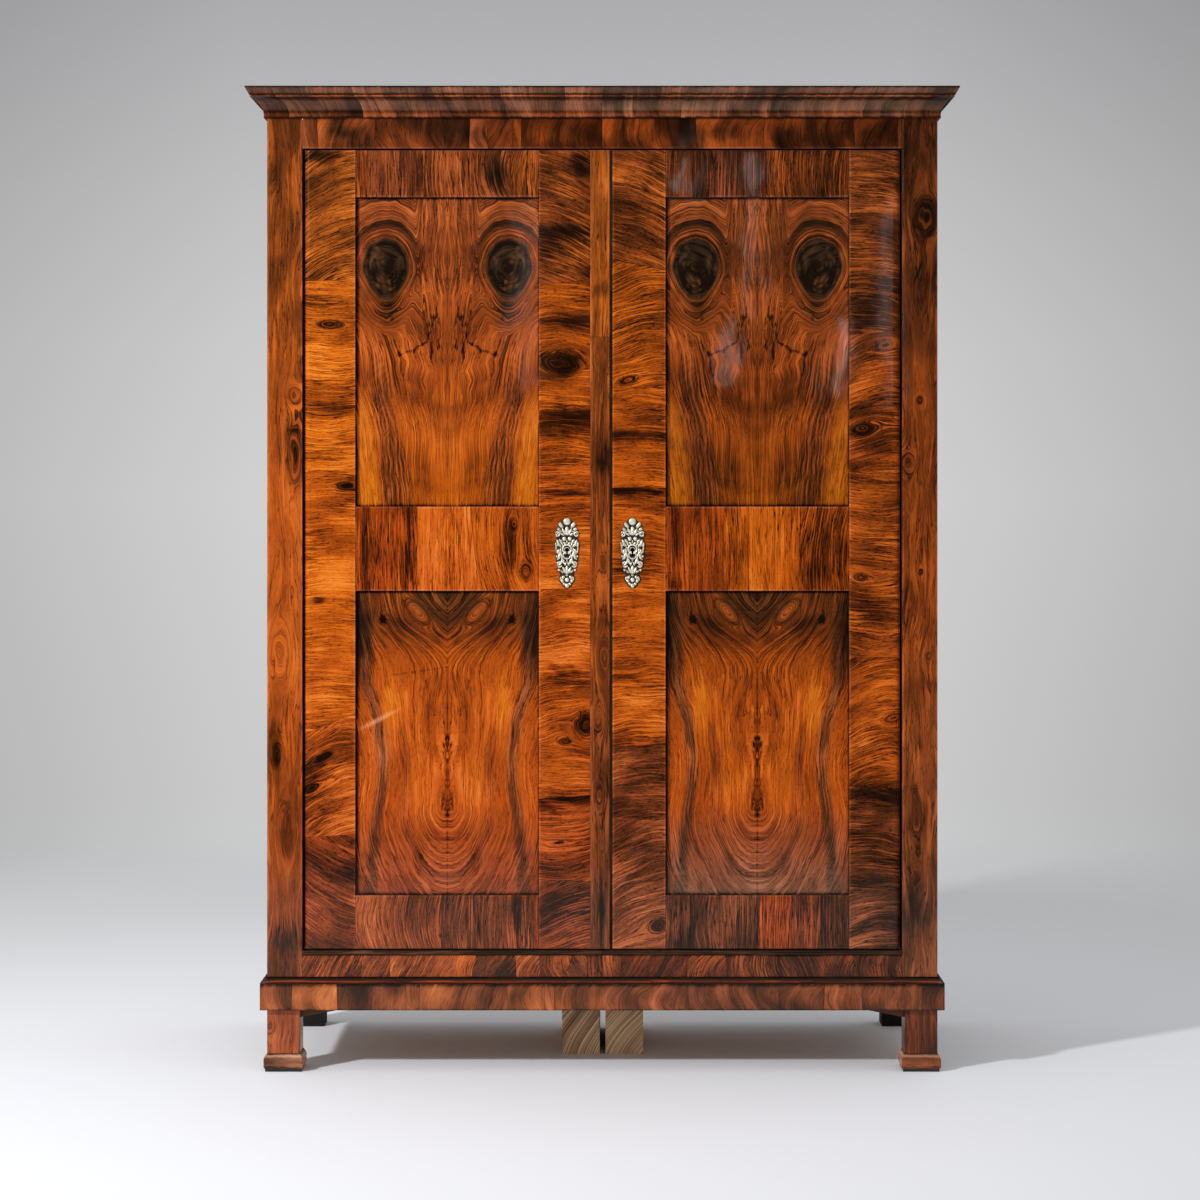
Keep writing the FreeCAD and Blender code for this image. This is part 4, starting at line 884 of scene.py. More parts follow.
doorPlan = {
    "outer_stile": {
        "left": {
            "seed": 81, "wave": 2.4, "waveSize": (120, 70),
            "joints": [(463, 470), (669, 711), (1193, 1190), (1568, 1572)],
            "patches": [(-28, -6, 0.4, 0.5, 0.08), (24, 8, 0.49, 0.2, 0.02), (1, 3, 0.565, 0.06, 0),
                (0, -3, 0.57, -0.04, 0), (24, 6, 0.52, -0.14, 0.06)],
            "knots": [(-540, 1482, 9, 30, 0.7), (-552, 624, 8, 20, 0.6), (-575, 562, 9, 18, 0.6),
                (-508, 1162, 8, 20, 0.5)],
            "clouds": [(-540, 1312, 70, 16, -0.14, 0.06), (-560, 1815, 60, 12, -0.16, 0.2),
                (-500, 1159, 26, 16, -0.12, 0.2), (-540, 985, 60, 50, 0.1), (-560, 935, 12, 6, -0.1, 0.4),
                (-540, 800, 70, 40, -0.1, 0.05, 0.1), (-540, 1250, 70, 25, 0.1),
                (-575, 590, 30, 40, -0.12, 0.2), (-540, 1440, 60, 30, 0.06)],
        },
        "right": {
            "seed": 83, "wave": 3.2, "waveSize": (110, 80),
            "joints": [(366, 360), (566, 560), (820, 822), (1193, 1193), (1462, 1470)],
            "patches": [(8, 6, 0.35, 0, 0.32), (-4, 4, 0.36, 0.05, 0.2), (14, 9, 0.41, 0.05, 0.02),
                (-3, -3, 0.385, 0, 0.06), (12, 8, 0.38, 0.05, 0.05), (-6, 4, 0.4, 0, 0.15)],
            "knots": [(520, 1275, 14, 30, 0.28), (560, 1440, 12, 26, 0.18), (512, 980, 8, 16, 0.4),
                (575, 700, 10, 22, 0.25)],
            "clouds": [(540, 1510, 70, 38, -0.12, 0.1), (540, 1595, 70, 30, 0.08),
                (540, 1270, 60, 36, -0.08, 0.12), (540, 1216, 70, 9, 0.12), (540, 545, 70, 16, -0.12, 0.12),
                (530, 740, 40, 50, 0.1)],
        },
    },
    "inner_stile": {
        "left": {
            "seed": 87, "wave": 3.2, "waveSize": (120, 80),
            "joints": [(380, 376), (540, 548), (957, 957), (1203, 1203), (1560, 1572)],
            "patches": [(18, 6, 0.4, 0.6, 0.14), (6, -6, 0.48, 0.5, 0.02), (2, 4, 0.52, 0.2, 0),
                (0, 2, 0.52, 0.2, 0), (-4, 6, 0.43, 0.05, 0), (-22, 5, 0.39, 0, 0.1)],
            "knots": [(-82, 1405, 24, 40, 0.6), (-34, 687, 26, 22, 0.85), (-74, 655, 9, 14, 0.5),
                (-88, 453, 4, 16, 0.7)],
            "clouds": [(-40, 1800, 34, 26, -0.18, 0.3), (-70, 1664, 70, 16, -0.14, 0.15),
                (-70, 1605, 70, 22, 0.12), (-70, 1490, 70, 12, -0.12, 0.15),
                (-60, 1290, 70, 28, -0.14, 0.15), (-54, 1243, 26, 12, 0.12), (-70, 1178, 70, 20, 0.12),
                (-70, 1147, 70, 5, -0.1, 0.3), (-70, 846, 70, 36, 0.14, 0, 0.1),
                (-70, 782, 70, 22, -0.16, 0.2), (-60, 543, 70, 18, -0.16, 0.2, 0.1),
                (-60, 330, 70, 50, -0.08, 0.1, 0, 0.1)],
        },
        "right": {
            "seed": 89, "wave": 3, "waveSize": (120, 80),
            "joints": [(499, 499), (640, 652), (950, 950), (1157, 1157), (1356, 1356), (1610, 1590)],
            "patches": [(20, 7, 0.46, 0.22, 0.24), (4, 5, 0.42, 0.12, 0.18), (2, 3, 0.54, 0.1, 0),
                (-3, 3, 0.46, 0.12, 0), (0, 2, 0.46, 0, 0), (14, 6, 0.48, 0, 0), (-20, 5, 0.46, 0, 0.08)],
            "knots": [(50, 1371, 8, 20, 0.6), (112, 290, 14, 20, 0.4)],
            "clouds": [(70, 1152, 70, 8, -0.14, 0.25), (70, 1260, 70, 12, -0.1, 0.15),
                (70, 905, 70, 40, 0.06), (90, 1790, 30, 30, -0.06, 0.06),
                (70, 600, 70, 60, -0.06, 0.05, 0, 0.05), (60, 1010, 50, 40, -0.08, 0.08, 0.1)],
        },
    },
    "top_rail": {
        "left": {
            "seed": 91, "wave": 2, "waveSize": (70, 200), "tones": [(0, -0.01, -0.1, 0.04)],
            "joints": [(-466, -466), (-402, -402), (-352, -352), (-246, -246), (-180, -184), (-150, -150)],
            "patches": [(90, 0, 0.44, 0.2, 0.1), (91, 0, 0.4, 0.3, 0.25), (89, 0, 0.36, 0.4, 0.25),
                (92, 3, 0.42, 0.2, 0.2), (96, 9, 0.4, 0.1, 0.2), (84, 5, 0.42, 0, 0.1),
                (90, 0, 0.4, 0, 0.1)],
            "clouds": [(-212, 1785, 18, 36, -0.16, 0.25, 0, 0.1)],
        },
        "right": {
            "seed": 93, "wave": 2, "waveSize": (70, 200), "tones": [(0, -0.03, -0.15, 0.05)],
            "joints": [(178, 178), (212, 212), (302, 302), (326, 326), (420, 420)],
            "patches": [(90, 0, 0.33, 0.1, 0.1), (90, 0, 0.25, 0.3, 0.1), (89, 0, 0.27, 0.6, 0.3),
                (91, 0, 0.25, 0.3, 0.1), (92, 4, 0.29, 0.1, 0.1), (88, 3, 0.27, 0.1, 0.1)],
        },
    },
    "middle_rail": {
        "left": {
            "seed": 95, "wave": 2.5, "waveSize": (80, 260), "joints": [(-367, -367), (-246, -262)],
            "patches": [(91, 0, 0.51, 0.4, 0), (90, 0, 0.665, 0.35, 0), (97, 10, 0.56, 0.2, 0)],
            "clouds": [(-425, 1036, 30, 200, -0.08, 0, 0.2), (-470, 1036, 9, 200, -0.12, 0.15),
                (-388, 1036, 14, 200, -0.12, 0.14), (-185, 1036, 16, 90, -0.12, 0.3),
                (-150, 1036, 12, 60, -0.1, 0.15), (-300, 1080, 60, 60, 0.05, 0, -0.1)],
            "knots": [(-152, 992, 14, 20, 0.4), (-175, 1085, 8, 14, 0.4)],
        },
        "right": {
            "seed": 97, "wave": 2.5, "waveSize": (80, 260),
            "joints": [(242, 242), (291, 291), (341, 341), (390, 394)],
            "patches": [(91, 0, 0.46, 0.35, 0), (90, 0, 0.52, 0.05, 0), (90, 0, 0.6, 0, 0),
                (90, 0, 0.5, 0.05, 0), (85, 8, 0.46, 0.1, 0)],
            "clouds": [(145, 1036, 9, 200, -0.1, 0.15), (222, 1036, 14, 200, -0.1, 0.12),
                (430, 1020, 26, 120, -0.12, 0.2), (476, 1036, 10, 200, -0.1, 0.15)],
        },
    },
    "bottom_rail": {
        "left": {
            "seed": 101, "wave": 2.2, "waveSize": (70, 160), "tones": [(0, -0.035, -0.1, 0.04)],
            "joints": [(-320, -318), (-268, -268), (-196, -196), (-136, -136)],
            "patches": [(93, 9, 0.43, 0.5, 0.24), (88, 4, 0.37, 0.4, 0.32), (90, 0, 0.39, 0.4, 0.3),
                (90, 0, 0.39, 0.4, 0.25), (90, 0, 0.43, 0.9, 0.1)],
            "clouds": [(-465, 300, 22, 60, 0.12), (-170, 300, 8, 60, -0.16, 0.25)],
        },
        "right": {
            "seed": 103, "wave": 2.2, "waveSize": (70, 160), "tones": [(0, -0.01, -0.12, 0.04)],
            "joints": [(183, 183), (232, 232), (308, 314), (376, 376), (433, 433)],
            "patches": [(90, 0, 0.28, 0.3, 0.4), (91, 4, 0.3, 0.3, 0.4), (89, 0, 0.32, 0.3, 0.38),
                (90, 0, 0.39, 0.9, 0.05), (90, 0, 0.33, 0.7, 0.25), (91, 0, 0.24, 0.3, 0.4)],
        },
    },
}
keyhole = {"height": 1034.0, "radius": 3.6, "slotHalf": 1.6, "slotDrop": 13.0}     # mm, through the stile


def keyholeOutline(centre):
    # a circle with a slot hanging from it: the arc starts and ends where the slot's sides meet it
    k = keyhole
    edge = math.asin(k["slotHalf"] / k["radius"])
    turn = np.linspace(-math.pi / 2 + edge, 1.5 * math.pi - edge, 25)
    arc = [(centre + k["radius"] * math.cos(t), k["height"] + k["radius"] * math.sin(t)) for t in turn]
    low = k["height"] - k["slotDrop"]
    return arc + [(centre - k["slotHalf"], low), (centre + k["slotHalf"], low)]


# along the doors' height: darker and duskier towards the foot and the top, a painted shade of the light
# falling off from the middle
doorTone = [(243, -0.05, 0.1, 0.14), (600, -0.01, 0.05, 0.02), (900, 0.03, 0, 0), (1300, 0.03, 0, 0),
    (1600, -0.02, -0.08, 0.02), (1827, -0.06, -0.08, 0.06)]
panelInner, panelOuter = 126.0, 490.0       # mm from the middle, the doors' panel openings
leafHeel = 12.0                             # mm, the outer stile's rounded heel
for side, sign in sides.items():
    body = side + "_door"
    heel = (leafHeel, 1.5, 0.5, leafHeel - 0.1) if sign < 0 else (1.5, leafHeel, leafHeel - 0.1, 0.5)
    for part, rounds in (("_outer_stile", heel), ("_inner_stile", frontRounds)):
        box = cadBox(body + part)
        board = boardPart(box, "z", {**doorPlan[part[1:]][side], "tones": doorTone}, rounds)
        piece = makePiece(body + part, [board], [veneerWalnut, walnutUpright], body)
    # the inner stile is cut for the keyhole, and the left one for the strip too
    plateBox = cadBox(body + "_escutcheon")
    cutters = [prismCutter(keyholeOutline((plateBox[0] + plateBox[1]) / 2), box[2] - 4, box[3] + 4)]
    if side == "left":
        strip = cadBox("left_door_closing_strip")
        cutters.append(boxCutter(strip[0], box[1] + 4, box[2] - 4, strip[3], box[4] - 4, box[5] + 4))
    cutAway(piece, cutters)
    for part, below, above in (("_top_rail", 1.5, 0.5), ("_middle_rail", 1.5, 1.5),
                               ("_bottom_rail", 0.5, 1.5)):
        box = sorted((sign * panelInner, sign * panelOuter)) + cadBox(body + part)[2:]
        makePiece(body + part, [boardPart(box, "x", doorPlan[part[1:]][side], (below, above, 0.5, 0.5))],
                  [railWalnut, walnutAcross], body)
stripLook = {
    "seed": 107, "wave": 3, "waveSize": (60, 260), "joints": [(1457, 1457)],
    "patches": [(90, 0, 0.42, 0.05, 0.12), (90, 0, 0.48, 0, 0.05)],
    "tones": [(243, -0.05, -0.1, 0.3), (450, -0.02, -0.08, 0.2), (900, -0.05, -0.1, 0),
        (1457, -0.02, -0.22, 0.03), (1827, -0.01, -0.25, 0.08)],
    "knots": [(-6, 548, 9, 28, 0.25), (4, 820, 12, 40, 0.2), (-8, 700, 10, 30, 0.2), (2, 1000, 8, 30, 0.15)],
    "clouds": [(-4, 1550, 16, 14, -0.1, 0.12), (0, 1210, 16, 30, -0.1, 0.12), (0, 320, 6, 60, -0.1, 0.3)],
}
makePiece("left_door_closing_strip",
          [boardPart(cadBox("left_door_closing_strip"), "z", stripLook, (2, 2, 0.5, 0.5))],
          [plainWalnut, walnutUpright], "left_door")
print("door frames ready")


# door panels: two mirrored leaves on each, meeting on the panel's middle line

def knotSpots(u, w, spots, light, ink):
    # small dark burls: each a star of three to five soft arms
    for i, (x, z, size, depth) in enumerate(spots):
        turn = np.arctan2(w - z, u - x)
        reach = size * (0.75 + 0.4 * np.cos((3 + i % 3) * turn + 1.9 * i) ** 2)
        r = np.hypot(u - x, (w - z) / 1.3) / reach
        ink += depth * hill(r, 0.8)
        light += 0.04 * hill(r - 1.8, 0.5)
    return light, ink


def crackLines(u, w, paths, wide, bend):
    # thin dark lines along chains of points, moved about by the bend
    nearest = np.full(len(u), 1e3)
    u, w = u + 3.0 * bend, w + 3.0 * bend
    for path in paths:
        for (x0, z0), (x1, z1) in zip(path, path[1:]):
            run = (x1 - x0) ** 2 + (z1 - z0) ** 2
            t = np.clip(((u - x0) * (x1 - x0) + (w - z0) * (z1 - z0)) / run, 0, 1)
            nearest = np.minimum(nearest, np.hypot(u - x0 - t * (x1 - x0), w - z0 - t * (z1 - z0)))
    return hill(nearest, wide)


def paleStreakMarks(h, v, marks, light, dusk):
    # pale soft streaks on the polish, each with a turn in degrees
    for x, z, long, wide, turn, depth in marks:
        c, s = math.cos(math.radians(turn)), math.sin(math.radians(turn))
        a, b = (h - x) * c + (v - z) * s, -(h - x) * s + (v - z) * c
        away = (a / long) ** 2 + (b / wide) ** 2
        amount = depth * np.exp(-away ** 1.5) * (0.65 + 0.35 * np.sin(h * 1.3) * np.sin(v * 0.9))
        light, dusk = light + amount, dusk + 1.4 * amount
    return light, dusk


def recessShade(look, h, v, ink):
    # painted shade where the panel sinks into its frame: wide and dark on the shadow side, narrow on the lit
    # side, and along both ends
    shadowSide, litSide = h - look["axis"] + look["half"], look["axis"] + look["half"] - h
    end = np.minimum(look["top"] - v, v - look["foot"])
    return ink + 0.75 * np.exp(-(shadowSide / 4.2) ** 4) + 0.5 * hill(litSide, 1.6) + 0.65 * hill(end, 3.2)


upperFigure = {
    "knot": (122, 140), "knotHalf": (48, 61), "tail": 72, "lean": 108, "leanStart": 180, "leanSpan": 330,
    # mm below the top, and there the near and far edge of the bundle of dark streaks, off the middle line
    "bundle": [(215, 134, 150), (300, 126, 150), (400, 113, 149), (500, 88, 134), (604, 74, 127)],
    "burls": [(28, 238, 4.5, 0.75), (36, 252, 4.5, 0.7), (97, 311, 4.5, 0.7), (66, 306, 3, 0.5),
        (110, 240, 4, 0.4), (50, 292, 2.6, 0.5), (35, 190, 1.6, 0.5), (33, 318, 3, 0.4), (86, 352, 3, 0.3),
        (30, 350, 2.2, 0.3)],
    "cracks": [[(20, 230), (30, 248), (34, 268), (44, 290), (64, 300), (76, 308), (97, 311)],
        [(30, 286), (33, 306), (31, 332)], [(20, 205), (24, 230), (15, 262), (17, 300)]],
}
lowerFigure = {
    "eye": (59, 41), "eyeHalf": (31, 13), "eyeTurn": 47, "sideKnot": (129, 57), "lens": (0, 340),
    "lensHalf": (24, 125), "pinch": 165, "spread": 90,
    "waist": [(0, 192), (60, 180), (100, 170), (180, 160), (260, 139), (330, 128), (380, 129), (480, 145),
        (604, 152)],
    "burls": [(128, 57, 6.5, 0.95), (3, 293, 4, 0.7), (6, 306, 5, 0.6), (2, 318, 3.5, 0.5),
        (3, 446, 3, 0.35), (26, 247, 2, 0.5), (40, 322, 1.6, 0.3), (36, 395, 1.8, 0.4)],
    "cracks": [[(1, 290), (4, 330), (2, 372), (5, 410), (2, 450)],
        [(9, 318), (12, 350), (8, 400), (10, 436)]],
}


def upperPanelFigure(look, h, v, share, length, patch):
    # u = distance off the middle line, w = distance below the top; closed rings round one big knot, whose
    # count is 122 - 62 r, pass into grain that is upright in the middle and leans in further down
    s = upperFigure
    u, w = np.abs(h - look["axis"]), look["top"] - v
    seed = look["seed"]
    slow, quick = drift(u, w, seed, 120.0, 170.0), drift(u, w, seed + 1, 34.0, 48.0)
    fine = drift(u, w, seed + 2, 15.0, 20.0)
    kx, kz = s["knot"]
    egg = 1 - 0.25 * smooth(w, kz, kz + s["tail"])
    a, b = (u - kx) / (s["knotHalf"][0] * egg), (w - kz) / np.where(w > kz, s["tail"], s["knotHalf"][1])
    r = np.sqrt(a ** 2 + b ** 2) * (1 + 0.025 * quick + 0.006 * fine) + 1e-3
    lean = s["lean"] * np.tanh(np.maximum(0, w - s["leanStart"]) / s["leanSpan"])
    straight = u + lean * (1 - np.exp(-u / 30)) + 5 * slow
    rings = kx - 62 * np.where(r > 1, r, 0.5 + 0.5 * r) + 2 * slow
    toStraight = np.maximum(smooth(r, 1.25, 1.9) * smooth(w, 130, 260),
                            smooth(64 - u, 0, 18) * smooth(r, 1.05, 1.3))
    across = rings * (1 - toStraight) + straight * toStraight
    burl = hill(u - 62, 48, w - 335, 80)
    across = across + burl * (5 * quick + 1.2 * fine) + 0.8 * quick
    foot = hill(u, 20, w - 540, 70)        # nested points at the foot of the middle line
    across += 16 * foot * (w - 540) / 60
    light = np.interp(w, [0, 120, 200, 300, 450, 604], [0.44, 0.45, 0.46, 0.48, 0.50, 0.50]) + look["light"]
    light -= look["fade"] * smooth(w, 250, 420)
    red = np.interp(w, [0, 120, 300, 604], [0.0, -0.05, 0.08, -0.15]) + look["red"] + 0.05
    dusk = np.interp(w, [0, 80, 200, 400, 604], [0.24, 0.20, 0.14, 0.06, 0.0])
    # the knot: near black, olive, with a brown swirl low in it, and a soft edge
    core = smooth((1.03 - r) / (1 + 1.8 * smooth(w, kz + 15, kz + 70)), 0.0, 0.13)
    swirlOff = ((u - 118 - 5 * quick) / 15) ** 2 + ((w - 172) / 24) ** 2
    swirl = np.exp(-swirlOff ** 1.4) * (0.6 + 0.4 * np.cos(u / 2.3 + 2 * quick))
    smear = hill(u - 114, 18, w - 216, 30) * (1 - core)
    light -= core * (0.27 - 0.17 * swirl - 0.05 * quick + 0.04 * fine)
    dusk = dusk * (1 - core) + (0.70 - 0.5 * swirl) * core
    red = red - 0.7 * core - 0.3 * smear
    ink = 0.32 * smear * (0.8 + 0.4 * quick)
    ink += 0.12 * core * (0.5 + 0.5 * np.cos(2 * np.pi * r * 48 / 7 + quick)) * smooth(w, kz - 20, kz + 30)
    # narrow even rings close round the knot, and one broad dark arc over it
    nearRings = smooth(r, 1.0, 1.06) * smooth(1.75 - r, 0, 0.6)
    ink += 0.13 * nearRings * (0.5 + 0.5 * np.cos(2 * np.pi * (r * 48 + 1.2 * quick) / 4.9))
    arc = hill(r - 1.48, 0.13) * smooth(118 - w, 0, 50) * smooth(u, 38, 70)
    light, dusk = light - 0.13 * arc, dusk + 0.15 * arc
    # bundle of five or six thin dark streaks that leans in towards the foot, plain bright wood outside it
    edges = np.array(s["bundle"], float)
    near, far = (np.interp(w, edges[:, 0], edges[:, i]) + 3 * slow for i in (1, 2))
    t = (u - near) / (far - near)
    inside = smooth(t, -0.12, 0.06) * smooth(1.15 - t, 0.0, 0.2) * smooth(w, 215, 380)
    thin = np.maximum(0, np.cos(2 * np.pi * (5.5 * t + 0.25 * quick))) ** 2
    ink += inside * (0.03 + look["bundle"] * smooth(w, 380, 560) + (0.22 + 1.5 * look["bundle"]) * thin
                     * (0.75 + 0.5 * quick))
    dusk += 0.10 * inside
    outside = smooth(t, 1.0, 1.3) * smooth(w, 320, 440)
    light, red = light + 0.11 * outside, red - 0.22 * outside
    # two dark lines either side of the middle, and the joint
    ink += 0.20 * hill(u - 19 - 3 * slow, 2.4) * smooth(235 - w, 0, 60) * smooth(w, 20, 80)
    ink += 0.14 * hill(u, 1.3)
    light, ink = knotSpots(u, w, s["burls"], light, ink)
    ink += 0.55 * crackLines(u, w, s["cracks"], 1.5, fine + quick)
    light = light + 0.07 * slow + 0.04 * quick - 0.04 * burl
    light, dusk = paleStreakMarks(h, v, look["scuffs"], light, dusk)
    # painted shade in the recess round the panel
    ink = recessShade(look, h, v, ink)
    figure = np.stack([across * (1 - 0.8 * core), w + 20 * slow,
                       np.full(len(u), seed * 0.731 + look["shift"])], axis=1)
    return figure, toneOf(light, red, dusk, ink)


def lowerPanelFigure(look, h, v, share, length, patch):
    # u = distance off the middle line, w = distance below the top; upright grain drawn in at the waist, whose
    # lines part round a long lens on the middle line and close under it in nested U shapes; above the pinch
    # they lean out: line u0 stands at u0 + spread S(w) (1 - u0 / 131), and new lines start on the middle line
    s = lowerFigure
    u, w = np.abs(h - look["axis"]), look["top"] - v
    seed = look["seed"]
    slow, quick = drift(u, w, seed, 130.0, 190.0), drift(u, w, seed + 1, 36.0, 60.0)
    fine = drift(u, w, seed + 2, 15.0, 24.0)
    waist = np.interp(w, *np.array(s["waist"], float).T)
    upright = u * 131 / waist
    outer = smooth(u, 62, 112)
    rise = 1.25 * smooth(s["pinch"] - w, 0, 168) * (1 - outer) + 0.85 * smooth(s["pinch"] - w, 0, 125) * outer
    off = upright - s["spread"] * rise
    spreadOut = np.where(off > 0, off / np.maximum(0.3, 1 - 0.687 * rise), 1.25 * off)
    bowl = 60 * (np.maximum(0, w - 440) / 100) ** 0.85
    nested = (upright ** 1.4 + bowl ** 1.4) ** (1 / 1.4)
    across = np.where(w < s["pinch"], spreadOut, nested)
    r = np.sqrt((u / s["lensHalf"][0]) ** 2 + ((w - s["lens"][1]) / s["lensHalf"][1]) ** 2) + 1e-3
    across -= u / np.maximum(r, 1) ** 2 * 0.6 * smooth(w, 165, 215)
    vee = smooth(-off, 42, 74) * smooth(s["pinch"] - w, 0, 20)
    c, d = math.cos(math.radians(s["eyeTurn"])), math.sin(math.radians(s["eyeTurn"]))
    a, b = (u - s["eye"][0]) * c - (w - s["eye"][1]) * d, (u - s["eye"][0]) * d + (w - s["eye"][1]) * c
    eye = np.sqrt((a / s["eyeHalf"][0]) ** 2 + (b / s["eyeHalf"][1]) ** 2) * (1 + 0.04 * quick) + 1e-3
    around = np.exp(-np.maximum(0, eye - 1) / 0.35)
    across = across * (1 - around) + (-40 + 17 * eye) * around
    knot = np.sqrt(((u - s["sideKnot"][0]) / 13) ** 2 + ((w - s["sideKnot"][1]) / 15) ** 2) + 1e-3
    across = across - 1.0 * (u - s["sideKnot"][0]) / np.maximum(knot, 1) ** 2 + 4 * slow
    across = across + (1.3 + 1.5 * vee) * quick * smooth(u, 0, 30) + 0.5 * fine
    light = np.interp(w, [0, 60, 130, 200, 400, 480, 604],
                      [0.36, 0.37, 0.46, 0.56, 0.59, 0.53, 0.48]) + look["light"]
    red = np.interp(w, [0, 150, 400, 604], [-0.1, 0.18, 0.34, 0.85]) + look["red"]
    dusk = np.interp(w, [0, 60, 130, 430, 604], [0.14, 0.10, 0.02, 0.02, 0.30 + look["dusk"]])
    light += 0.12 * look["dusk"] * smooth(w, 430, 604)
    # hourglass: a soft dark band that follows line 131, broader and darker towards the top
    high = smooth(190 - w, 0, 150)
    lineOff = (u - waist) * (1 - 0.35 * high) + 1.5 * slow
    band = np.exp(-(lineOff / (12 + 5 * high)) ** 4) * (0.80 + 0.12 * np.cos(lineOff / 2.6 + quick))
    second = hill(across - 80, 6) * smooth(w, 230, 330)
    outerBand = smooth(u, 140, 158) * smooth(215 - w, 0, 90) * smooth(w, 10, 60)
    band = np.maximum(band, look["outer"] * outerBand * (0.85 + 0.2 * quick))
    light, dusk, red = light - (0.15 + 0.12 * high) * band, dusk + 0.34 * band, red - 0.3 * band
    light, dusk = light - 0.10 * second, dusk + 0.10 * second
    ink = 0.06 * band + 0.16 * hill(u, 1.3) * smooth(w, 120, 200) + 0.06 * hill(u, 1.3)
    light += 0.11 * hill(u - 112, 14, w - 225, 90)
    light += 0.08 * hill(u - 56, 20, w - 370, 95)
    red = red - 0.45 * hill(u - 112, 15, w - 225, 75) - 0.2 * hill(u - 56, 22, w - 370, 90)
    # olive dusk in the V, darker lines along its leaning grain, dark shoulders under the side knot
    light, dusk, red = light - 0.10 * vee, dusk + 0.12 * vee, red - 0.25 * vee
    dark = np.maximum(0, np.cos(across / 3.4 + 1.5 * quick)) ** 3
    ink += 0.26 * dark * smooth(140 - w, 0, 50) * (0.6 + 0.4 * vee) * (1 - around) * smooth(150 - u, 0, 20)
    shoulderOff = (w - 68 + 0.61 * (u - 92)) / 13
    shoulder = np.exp(-shoulderOff ** 2 - ((u - 92) / 34) ** 2)
    light, dusk = light - 0.13 * shoulder, dusk + 0.08 * shoulder
    ink += 0.20 * hill(u - 14, 14, w - 88, 14)
    light += 0.13 * hill(eye, 0.95)
    ink += 0.16 * hill(eye - 1.05, 0.18)
    # the dark streak on the middle line, and thin dark U lines under it
    along = smooth(w, 275, 320) * smooth(470 - w, 0, 40)
    ink += 0.10 * hill(u, 12) * along * (0.7 + 0.3 * np.sin(u / 1.9 + quick))
    thin = smooth(np.sin(across / 2.6 + slow) + 0.5 * np.sin(across / 1.3 + quick), 0.9, 1.4)
    ink += 0.28 * thin * smooth(w, 430, 490) * smooth(78 - across, 0, 25)
    light, ink = knotSpots(u, w, s["burls"], light, ink)
    ink += 0.34 * crackLines(u, w, s["cracks"], 1.4, fine + 0.5 * quick)
    scratch = crackLines(h - look["axis"], w, [[(0, 152), (-116, 168)]], 0.9, 0.15 * quick)
    ink += look["scratch"] * scratch
    light = light + 0.07 * slow + 0.03 * quick
    light, dusk = paleStreakMarks(h, v, look["scuffs"], light, dusk)
    # painted shade in the recess round the panel
    ink = recessShade(look, h, v, ink)
    figure = np.stack([across, w + 20 * slow, np.full(len(u), seed * 0.731 + look["shift"])], axis=1)
    return figure, toneOf(light, red, dusk, ink)


panelTongue = 10.0      # mm of each panel edge that sits in the frame's groove
panelLooks = {
    "left": {"light": 0.03, "red": 0.05, "dusk": 0.0, "shift": 0.0, "bundle": 0.08, "scratch": 0.22,
             "outer": 1.0, "fade": 0.0,
             # place, half length, half width, turn and depth of each pale streak
             "scuffs": [(-446, 696, 40, 4.6, 27, 0.46), (-440, 640, 22, 40, 0, 0.12),
                        (-422, 1146, 5, 12, 5, 0.28)]},
    "right": {"light": -0.015, "red": -0.06, "dusk": 0.5, "shift": 0.11, "bundle": 0.03, "scratch": 0.0,
              "outer": 0.5, "fade": 0.075, "scuffs": []},
}
for side in sides:
    for level, figureOf, seed in (("upper", upperPanelFigure, 113), ("lower", lowerPanelFigure, 127)):
        node = f"{side}_door_{level}_panel"
        box = cadBox(node)
        look = {**panelLooks[side], "seed": seed, "axis": (box[0] + box[1]) / 2,
                "half": (box[1] - box[0]) / 2 - panelTongue, "top": box[5] - panelTongue,
                "foot": box[4] + panelTongue}
        makePiece(node, [boardPart(box, "z", look, figureOf=figureOf, step=2.4)],
                  [crotchWalnut, walnutUpright], side + "_door")
print("panels ready")


# front feet

footShape = {"shaft": 65.0, "shaftLow": 35.5, "baseReach": 6.5, "baseLow": 6.0, "baseHigh": 25.5,
             "chamfer": (2.0, 3.0)}
footLooks = {
    "left": {
        "seed": 131, "wave": 3, "waveSize": (60, 120), "patches": [(88, 0, 0.52, 0.45, 0.34)],
        "knots": [(-630, 90, 10, 20, 0.25)],
    },
    "right": {
        "seed": 137, "wave": 3, "waveSize": (60, 120), "patches": [(92, 0, 0.3, 0.45, 0.3)],
        "knots": [(640, 70, 9, 22, 0.3)],
    },
}


def footPart(sign, levels, look):
    # a square outline grown by each level's reach, carried up through the levels
    half = footShape["shaft"] / 2
    outline, shown = sectionOutline([(-half, -half, 1.2, 4.0, True), (half, -half, 1.2, 4.0, True),
                                     (half, half, 1.2, 8.0, True), (-half, half, 1.2, 4.0, True)])
    heights, reach = np.array(levels).T
    grown = (1 + reach / half)[:, None, None]
    plan = np.array([sign * (halfWidth - half), front + half]) + outline[None] * grown
    z = np.broadcast_to(heights[:, None], plan.shape[:2])
    grid = np.concatenate([plan, z[..., None]], axis=-1)
    run = np.cumsum(np.linalg.norm(outline - np.roll(outline, 1, axis=0), axis=1))
    unrolled = np.broadcast_to(sign * 640 + run, z.shape)
    return sweep(grid, np.stack([unrolled, z], axis=-1), 0.5 + 0 * z, z, shown, look)
